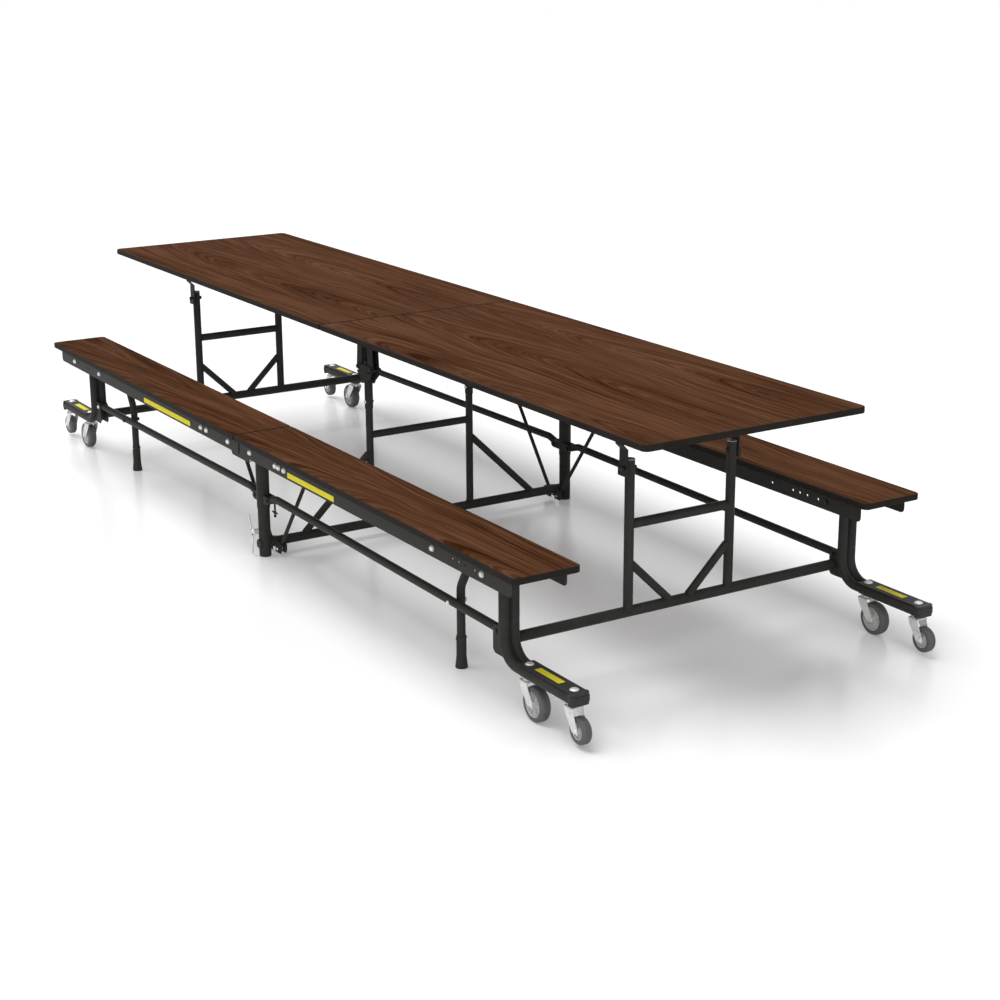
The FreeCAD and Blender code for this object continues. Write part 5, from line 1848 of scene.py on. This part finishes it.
@dataclass
class EndFrame(HalfAssembly):
    """Truss, legs and arms at the outer end of one half."""

    cross_z: float = 0.173
    reach: float = 0.5885
    upright_y: float = 0.180
    upright_top: float = 0.623
    bar_z: float = 0.433
    brace_top: float = 0.315
    brace_foot: float = 0.035
    tube_gap: float = 0.0345
    leg_top: float = 0.412
    bend: float = 0.068
    arm_z: float = 0.1343
    arm_end: float = 1.858
    web: float = 0.003
    web_top: float = 0.375
    web_end: float = 1.6226
    bracket: float = 0.0035
    bracket_round: float = 0.017
    bracket_low: float = 0.139
    bracket_heel: float = 0.010
    bracket_corner: float = 0.003
    plate_start: float = 1.611
    plate_widths: Flat = (0.054, 0.040)
    plate: float = 0.003
    plate_corner: float = 0.004
    cap: float = 0.020
    cap_ribs: int = 4
    cap_corner: float = 0.012
    arm_face: float = 0.2046
    dome: Flat = (0.013, 0.004)
    dome_rim: float = 0.0010
    strip: Flat = (1.672, 1.788)
    strip_reach: float = 0.011

    def build(self) -> None:
        """Make the whole end frame."""
        truss, caps = Form(), Form()
        self._truss(truss)
        self._piece(truss, "end_truss_tubes", FRAME_PAINT, "end_frame", ["end_truss"])
        for side in Side:
            leg = Form()
            self._leg(leg)
            self._piece(leg, f"{side.value}_caster_leg", FRAME_PAINT, "end_frame",
                        [f"s_leg_{side.value}"], side)
        self._cap(caps)
        black, bright, grey, border, strip = (Form() for _ in range(5))
        self._bolts(black, bright, grey)
        self._strip(border, LAYOUT.strip_border, LAYOUT.border_thickness)
        self._strip(strip, 0.0, LAYOUT.strip_thickness)
        for form, label, finish, nodes in (
                (caps, "arm_end_caps", CAP_PLASTIC, ["arm_caps"]),
                (black, "end_frame_bolts", BLACK_BOLT, ["frame_bolts"]),
                (bright, "stem_domes", ZINC, []), (grey, "upright_plugs", PLUG_GREY, []),
                (border, "arm_strip_borders", EDGE_VINYL, []), (strip, "arm_strips", STRIP_YELLOW, [])):
            form.both_sides()
            self._piece(form, label, finish, "end_frame", nodes)

    @property
    def _arm_top(self) -> float:
        """Upper face of the arm's cover plate."""
        return self.arm_z + LAYOUT.leg_tube + self.plate

    def _strip(self, form: Form, border: float, thick: float) -> None:
        """Add the plain strip on one arm.

        Args:
            form: Form that takes it.
            border: How far it reaches past its own size on every side.
            thick: Its thickness.
        """
        start, end = self.strip
        form.plate(level_box((start - border, end + border),
                             about(LAYOUT.leg_y, self.strip_reach + border), self._arm_top),
                   (0.0, 0.0, thick), 0.001, 0.0)

    def _truss(self, form: Form) -> None:
        """Add the uprights, V braces, crossbar and cross tube.

        Args:
            form: Form that takes them.
        """
        x = LAYOUT.end_frame_x
        y = self.upright_y
        tube = LAYOUT.leg_tube
        inset = y - tube * 0.6
        form.tube([(x, y, self.cross_z + LAYOUT.cross_tube * 0.6), (x, y, self.upright_top)], tube,
                  LAYOUT.wall, soft=0.0005)
        form.tube([(x, inset, self.brace_top), (x, self.brace_foot, self.cross_z + 0.010)],
                  LAYOUT.brace, LAYOUT.wall)
        form.both_sides()
        for z, reach, radius, wall in ((self.bar_z, inset, tube, LAYOUT.wall),
                                       (self.cross_z, self.reach, LAYOUT.cross_tube, LAYOUT.cross_wall)):
            form.tube([(x, -reach, z), (x, reach, z)], radius, wall)

    def _leg(self, form: Form) -> None:
        """Add one leg with its arm, web, link bracket and cover plates.

        Args:
            form: Form that takes them.
        """
        x, y, z = LAYOUT.end_leg_x, LAYOUT.leg_y, self.arm_z
        tube = LAYOUT.leg_tube
        for tube_y in about(y, self.tube_gap / 2.0):
            form.tube([(x, tube_y, self.leg_top), (x, tube_y, z), (self.arm_end, tube_y, z)], tube,
                      0.0, self.bend, soft=0.0010)
        form.bent_strip((x, y, self.web_top), x, (self.web_end, y, z), self.bend,
                        (self.web, self.tube_gap - tube))
        low, high = self.bracket_low, LAYOUT.link_z + self.bracket_round
        heel, corner = self.bracket_heel, self.bracket_corner
        back = LAYOUT.end_frame_x - self.bracket_round
        for start in (y - LAYOUT.link_gap - self.bracket, y + LAYOUT.link_gap):
            form.plate(upright(start, (back, high), (back, low + heel), (back + heel, low), (x, low),
                               (x, high)), (0.0, self.bracket, 0.0),
                       (self.bracket_round * 0.97, corner, corner, 0.0, 0.0), 0.0006)
        corner = self.plate_corner
        for level, width in zip((z + tube, z - tube - self.plate), self.plate_widths):
            form.plate(level_box((self.plate_start, self.arm_end), about(y, width / 2.0), level),
                       (0.0, 0.0, self.plate), (corner, 0.0, 0.0, corner), 0.0010, 3)

    def _cap(self, form: Form) -> None:
        """Add the ribbed cap on the end of one arm.

        Args:
            form: Form that takes it.
        """
        reach = self.tube_gap / 2.0 + LAYOUT.leg_tube
        start, end = self.arm_end, self.arm_end + self.cap
        low = self.arm_z - LAYOUT.leg_tube - self.plate
        pitch = (self._arm_top - low) / self.cap_ribs
        corner = self.cap_corner
        for rib in range(self.cap_ribs):
            inset = 0.0012 if rib in (0, self.cap_ribs - 1) else 0.0
            form.plate(level_box((start, end - inset), about(LAYOUT.leg_y, reach - inset),
                                 low + pitch * rib),
                       (0.0, 0.0, pitch), (0.0, corner, corner, 0.0), 0.0010, 3, 8)

    def _bolts(self, black: Form, bright: Form, grey: Form) -> None:
        """Add the pivot bolts, the domes over the caster stems and the plugs of the uprights.

        Args:
            black: Form that takes the black bolts.
            bright: Form that takes the zinc ones.
            grey: Form that takes the plugs.
        """
        x = LAYOUT.end_frame_x
        black.through_bolt(x, LAYOUT.table_pivot_z,
                           (self.upright_y - LAYOUT.leg_tube, self.arm_face), LAYOUT.bolt,
                           *LAYOUT.pivot_head)
        linked = black if self.half is Half.NEAR else bright
        linked.through_bolt(x, LAYOUT.link_z, about(LAYOUT.leg_y, LAYOUT.link_gap + self.bracket),
                            LAYOUT.bolt, *LAYOUT.pivot_head)
        for stem in LAYOUT.stems:
            bright.domed_head((stem, LAYOUT.leg_y, self._arm_top), UP, *self.dome, self.dome_rim)
        rim = LAYOUT.leg_tube + 0.0004
        grey.turned([(0.0, -0.006), (rim - 0.0025, -0.006), (rim - 0.0025, 0.0), (rim, 0.0), (rim, 0.0014),
                     (rim - 0.0010, 0.0024), (0.0, 0.0026)], (x, self.upright_y, self.upright_top), UP)


@dataclass(frozen=True)
class WheelSize:
    """Place and sizes of one kind of caster."""

    stem: float
    trail: float
    radius: float
    width: float
    axle_z: float


@dataclass
class Caster(HalfAssembly):
    """A swivel caster: pressed fork and a tyred wheel."""

    side: Side
    place: CasterPlace
    inner: WheelSize = WheelSize(LAYOUT.stems[0], 0.036, 0.050, 0.032, 0.050)
    outer: WheelSize = WheelSize(LAYOUT.stems[1], 0.031, 0.038, 0.027, 0.049)
    stem_radius: float = 0.00635
    stem_length: float = 0.0346
    race: float = 0.019
    race_height: float = 0.008
    fork: float = 0.003
    fork_gap: float = 0.0025
    foot: float = 0.011
    tyre_depth: float = 0.014
    groove: float = 0.0007
    ribs: int = 6
    arm_under: float = 0.1170

    @property
    def wheel(self) -> WheelSize:
        """Sizes of this caster."""
        return self.inner if self.place is CasterPlace.INNER else self.outer

    @property
    def centre(self) -> Point:
        """Centre of the wheel."""
        return self.wheel.stem + self.wheel.trail, LAYOUT.leg_y, self.wheel.axle_z

    def build(self) -> None:
        """Make the fork, tyre and hub."""
        side, place = self.side.value, self.place.value
        for add, label, finish, part, moving, nodes in (
                (self._fork, "fork", ZINC, "fork", "swivel", [f"{place}_fork_{side}"]),
                (self._tyre, "tyre", TYRE, "wheel", "roll", [f"{place}_wheel_{side}"]),
                (self._hub, "hub", HUB_PLASTIC, "wheel", "roll", [])):
            form = Form()
            add(form)
            self._piece(form, f"{side}_{place}_caster_{label}", finish,
                        f"{place}_{part}_{side}_{moving}", nodes, self.side)

    def _fork(self, form: Form) -> None:
        """Add stem, ball race, crown, legs and axle.

        Args:
            form: Form that takes them.
        """
        x, y = self.wheel.stem, LAYOUT.leg_y
        top = self.arm_under - LAYOUT.slide
        race, height = self.race, self.race_height
        form.turned([(0.0, 0.0), (self.stem_radius, 0.0), (self.stem_radius, self.stem_length),
                     (0.0, self.stem_length)], (x, y, top), UP, SMALL_STEPS)
        form.turned([(0.0, 0.0), (race * 0.86, 0.0), (race * 0.93, -0.0006), (race, -0.0022),
                     (race, -0.0034), (race * 0.91, -0.0040), (race * 0.91, -0.0046),
                     (race * 0.98, -0.0052), (race * 0.98, -0.0066), (race * 0.90, -height),
                     (0.0, -height)], (x, y, top), UP)
        crown_top = top - height
        inside = self.wheel.width / 2.0 + self.fork_gap
        outside = inside + self.fork
        form.plate(level_box(about(x, race), about(y, outside), crown_top - self.fork),
                   (0.0, 0.0, self.fork), 0.002, 0.0009)
        axle, _, axle_z = self.centre
        foot, cheek = self.foot, 0.008
        brow, chin, jaw = crown_top - 0.0006, crown_top - 0.012, axle_z + 0.004
        for start in (y - outside, y + inside):
            form.plate(upright(start, (x - race, brow), (x - race, chin), (axle - foot, jaw),
                               (axle - foot, axle_z - foot), (axle + foot, axle_z - foot),
                               (axle + foot, jaw), (x + race, chin), (x + race, brow)),
                       (0.0, self.fork, 0.0),
                       (0.0, 0.012, cheek, foot * 0.97, foot * 0.97, cheek, 0.012, 0.0), 0.0008)
        low, high = about(y, outside)
        form.tube([(axle, low, axle_z), (axle, high, axle_z)], LAYOUT.small_bolt, steps=SMALL_STEPS)
        form.domed_head((axle, high, axle_z), OUTBOARD, 0.007, 0.0032, 0.0008)
        form.nut((axle, low, axle_z), INBOARD, 0.0075, 0.0034)

    def _tyre(self, form: Form) -> None:
        """Add the tyre, with rounded shoulders and three fine grooves in its tread.

        Args:
            form: Form that takes it.
        """
        radius, half_width = self.wheel.radius, self.wheel.width / 2.0
        seat, floor = radius - self.tyre_depth, radius - self.groove
        shoulder = half_width * 0.55
        profile: list[Flat] = [(seat, -half_width), (radius - shoulder, -half_width)]
        for step in range(1, 6):
            turn = math.radians(90.0 * step / 6.0)
            profile.append((radius - shoulder + shoulder * math.sin(turn),
                            -half_width + shoulder * (1.0 - math.cos(turn))))
        profile += [(radius, -half_width + shoulder), (radius, -0.0050), (floor, -0.0046),
                    (floor, -0.0040), (radius, -0.0036), (radius, -0.0006), (floor, -0.0003)]
        self._turn_both_ways(form, profile, 64)

    def _turn_both_ways(self, form: Form, side: list[Flat], steps: int) -> None:
        """Turn a profile and its reflection about the axle as one closed ring.

        Args:
            form: Form that takes the ring.
            side: Radius and offset of each point on one side of the wheel.
            steps: Steps round the axle.
        """
        profile = side + [(radius, -offset) for radius, offset in reversed(side)]
        form.turned(profile + profile[:1], self.centre, OUTBOARD, steps)

    def _hub(self, form: Form) -> None:
        """Add the hub: rim, web, bearing boss and ribs on both sides.

        Args:
            form: Form that takes it.
        """
        half_width = self.wheel.width / 2.0
        rim = self.wheel.radius - self.tyre_depth
        lip = rim - 0.0035
        bore = LAYOUT.small_bolt + LAYOUT.bore_slack
        boss = LAYOUT.small_bolt + 0.0055
        face = half_width - 0.0015
        web = half_width * 0.42
        reach = half_width + self.fork_gap - 0.0005
        self._turn_both_ways(form, [(bore, reach), (boss - 0.001, reach), (boss, reach - 0.0008),
                                    (boss, web + 0.001), (boss + 0.001, web), (lip - 0.001, web),
                                    (lip, web + 0.001), (lip + 0.0004, face - 0.0006),
                                    (lip + 0.0012, face), (rim, face)], 48)
        place = Matrix.Translation(Vector(self.centre))
        for rib in range(self.ribs):
            before = set(form.bm.verts)
            form.block((boss - 0.0006, 0.0030 - face, -0.0014), (lip + 0.0003, face - 0.0030, 0.0014),
                       0.0006)
            form.transform_since(before, place @ Matrix.Rotation(math.tau * rib / self.ribs, 4, "Y"))


@dataclass
class Studio:
    """Floor, lamps, world and camera."""

    lens: float = 69.286
    sensor: float = 36.0
    eye: Point = (5.657667, -3.220553, 2.068967)
    right: Point = (0.53241623, 0.84647094, -0.00446078)
    up: Point = (-0.24374374, 0.15835311, 0.95682458)
    back: Point = (0.81063059, -0.50834165, 0.29063175)
    floor_size: float = 60.0
    floor_albedo: float = 0.95
    floor_lift: float = 0.15
    floor_roughness: float = 0.22
    floor_specular: float = 0.25
    ambient: float = 0.22
    softbox: Flat = (2.30, 46.0)
    softbox_from: Point = (-0.36, -0.20, 1.0)
    fill: Flat = (1.05, 60.0)
    fill_from: Point = (0.75, -0.50, 0.42)

    def build(self) -> None:
        """Make the stage, the lamps and the camera."""
        bpy.context.scene.view_settings.view_transform = "Standard"
        self._floor()
        self._world()
        self._lamps()
        self._camera()

    def _floor(self) -> None:
        """Lay the pale floor."""
        bm = bmesh.new()
        bmesh.ops.create_grid(bm, x_segments=2, y_segments=2, size=self.floor_size / 2.0)
        mesh = bpy.data.meshes.new("studio_floor")
        bm.to_mesh(mesh)
        bm.free()
        floor = bpy.data.objects.new("studio_floor", mesh)
        bpy.context.scene.collection.objects.link(floor)
        paint = bpy.data.materials.new("studio_floor_paint")
        paint.use_nodes = True
        paint.node_tree.nodes.clear()
        graph = Graph(paint.node_tree)
        tone = self.floor_albedo
        surface = graph.add("BsdfPrincipled", {"Base Color": (tone, tone, tone, 1.0),
                                               "Roughness": self.floor_roughness,
                                               "Specular IOR Level": self.floor_specular})
        glow = graph.add("Emission", {"Color": (1.0, 1.0, 1.0, 1.0)})
        rays = graph.add("LightPath")
        seen = graph.math("MAXIMUM", rays.outputs["Is Camera Ray"], rays.outputs["Is Glossy Ray"])
        lift = graph.math("MULTIPLY", seen, self.floor_lift)
        graph.join(glow, Strength=lift)
        both = graph.add("AddShader", {0: surface.outputs["BSDF"], 1: glow.outputs["Emission"]})
        output = graph.add("OutputMaterial")
        graph.join(output, Surface=both.outputs["Shader"])
        mesh.materials.append(paint)

    def _world(self) -> None:
        """Light the room evenly, and show plain white behind the table."""
        world = bpy.data.worlds.new("studio_room")
        bpy.context.scene.world = world
        world.use_nodes = True
        world.node_tree.nodes.clear()
        graph = Graph(world.node_tree)
        rays = graph.add("LightPath")
        seen = graph.math("MAXIMUM", rays.outputs["Is Camera Ray"], rays.outputs["Is Glossy Ray"])
        seen = graph.math("MAXIMUM", seen, rays.outputs["Is Transmission Ray"])
        strength = graph.fit(seen, (0.0, 1.0), (self.ambient, 1.0))
        background = graph.add("Background", {"Color": (1.0, 1.0, 1.0, 1.0), "Strength": strength})
        output = graph.add("OutputWorld")
        graph.join(output, Surface=background.outputs["Background"])

    def _lamps(self) -> None:
        """Hang a broad soft lamp overhead, and stand a weaker one before the table."""
        for name, (strength, angle), place in (("studio_softbox", self.softbox, self.softbox_from),
                                               ("studio_fill", self.fill, self.fill_from)):
            sun = bpy.data.lights.new(name, "SUN")
            sun.energy = strength
            sun.angle = math.radians(angle)
            lamp = bpy.data.objects.new(name, sun)
            bpy.context.scene.collection.objects.link(lamp)
            lamp.rotation_mode = "QUATERNION"
            lamp.rotation_quaternion = Vector(place).to_track_quat("Z", "Y")

    def _camera(self) -> None:
        """Stand the camera at the near left corner, looking down along the table."""
        lens = bpy.data.cameras.new("studio_camera")
        lens.lens = self.lens
        lens.sensor_width = self.sensor
        camera = bpy.data.objects.new("studio_camera", lens)
        bpy.context.scene.collection.objects.link(camera)
        rows = zip(self.right, self.up, self.back, self.eye)
        camera.matrix_world = Matrix([list(row) for row in rows] + [[0.0, 0.0, 0.0, 1.0]])
        bpy.context.scene.camera = camera


def main() -> None:
    """Build the studio and every sub-assembly."""
    logging.basicConfig(level=logging.INFO, format="%(message)s")
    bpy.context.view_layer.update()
    Studio().build()
    CentreFrame().build()
    for half in Half:
        for assembly in (TableHalf, BenchHalf, LowerLinks, LockRods, MidLeg, EndFrame):
            assembly(half).build()
        for side in Side:
            for place in CasterPlace:
                Caster(half, side, place).build()


if __name__ == "__main__":
    main()
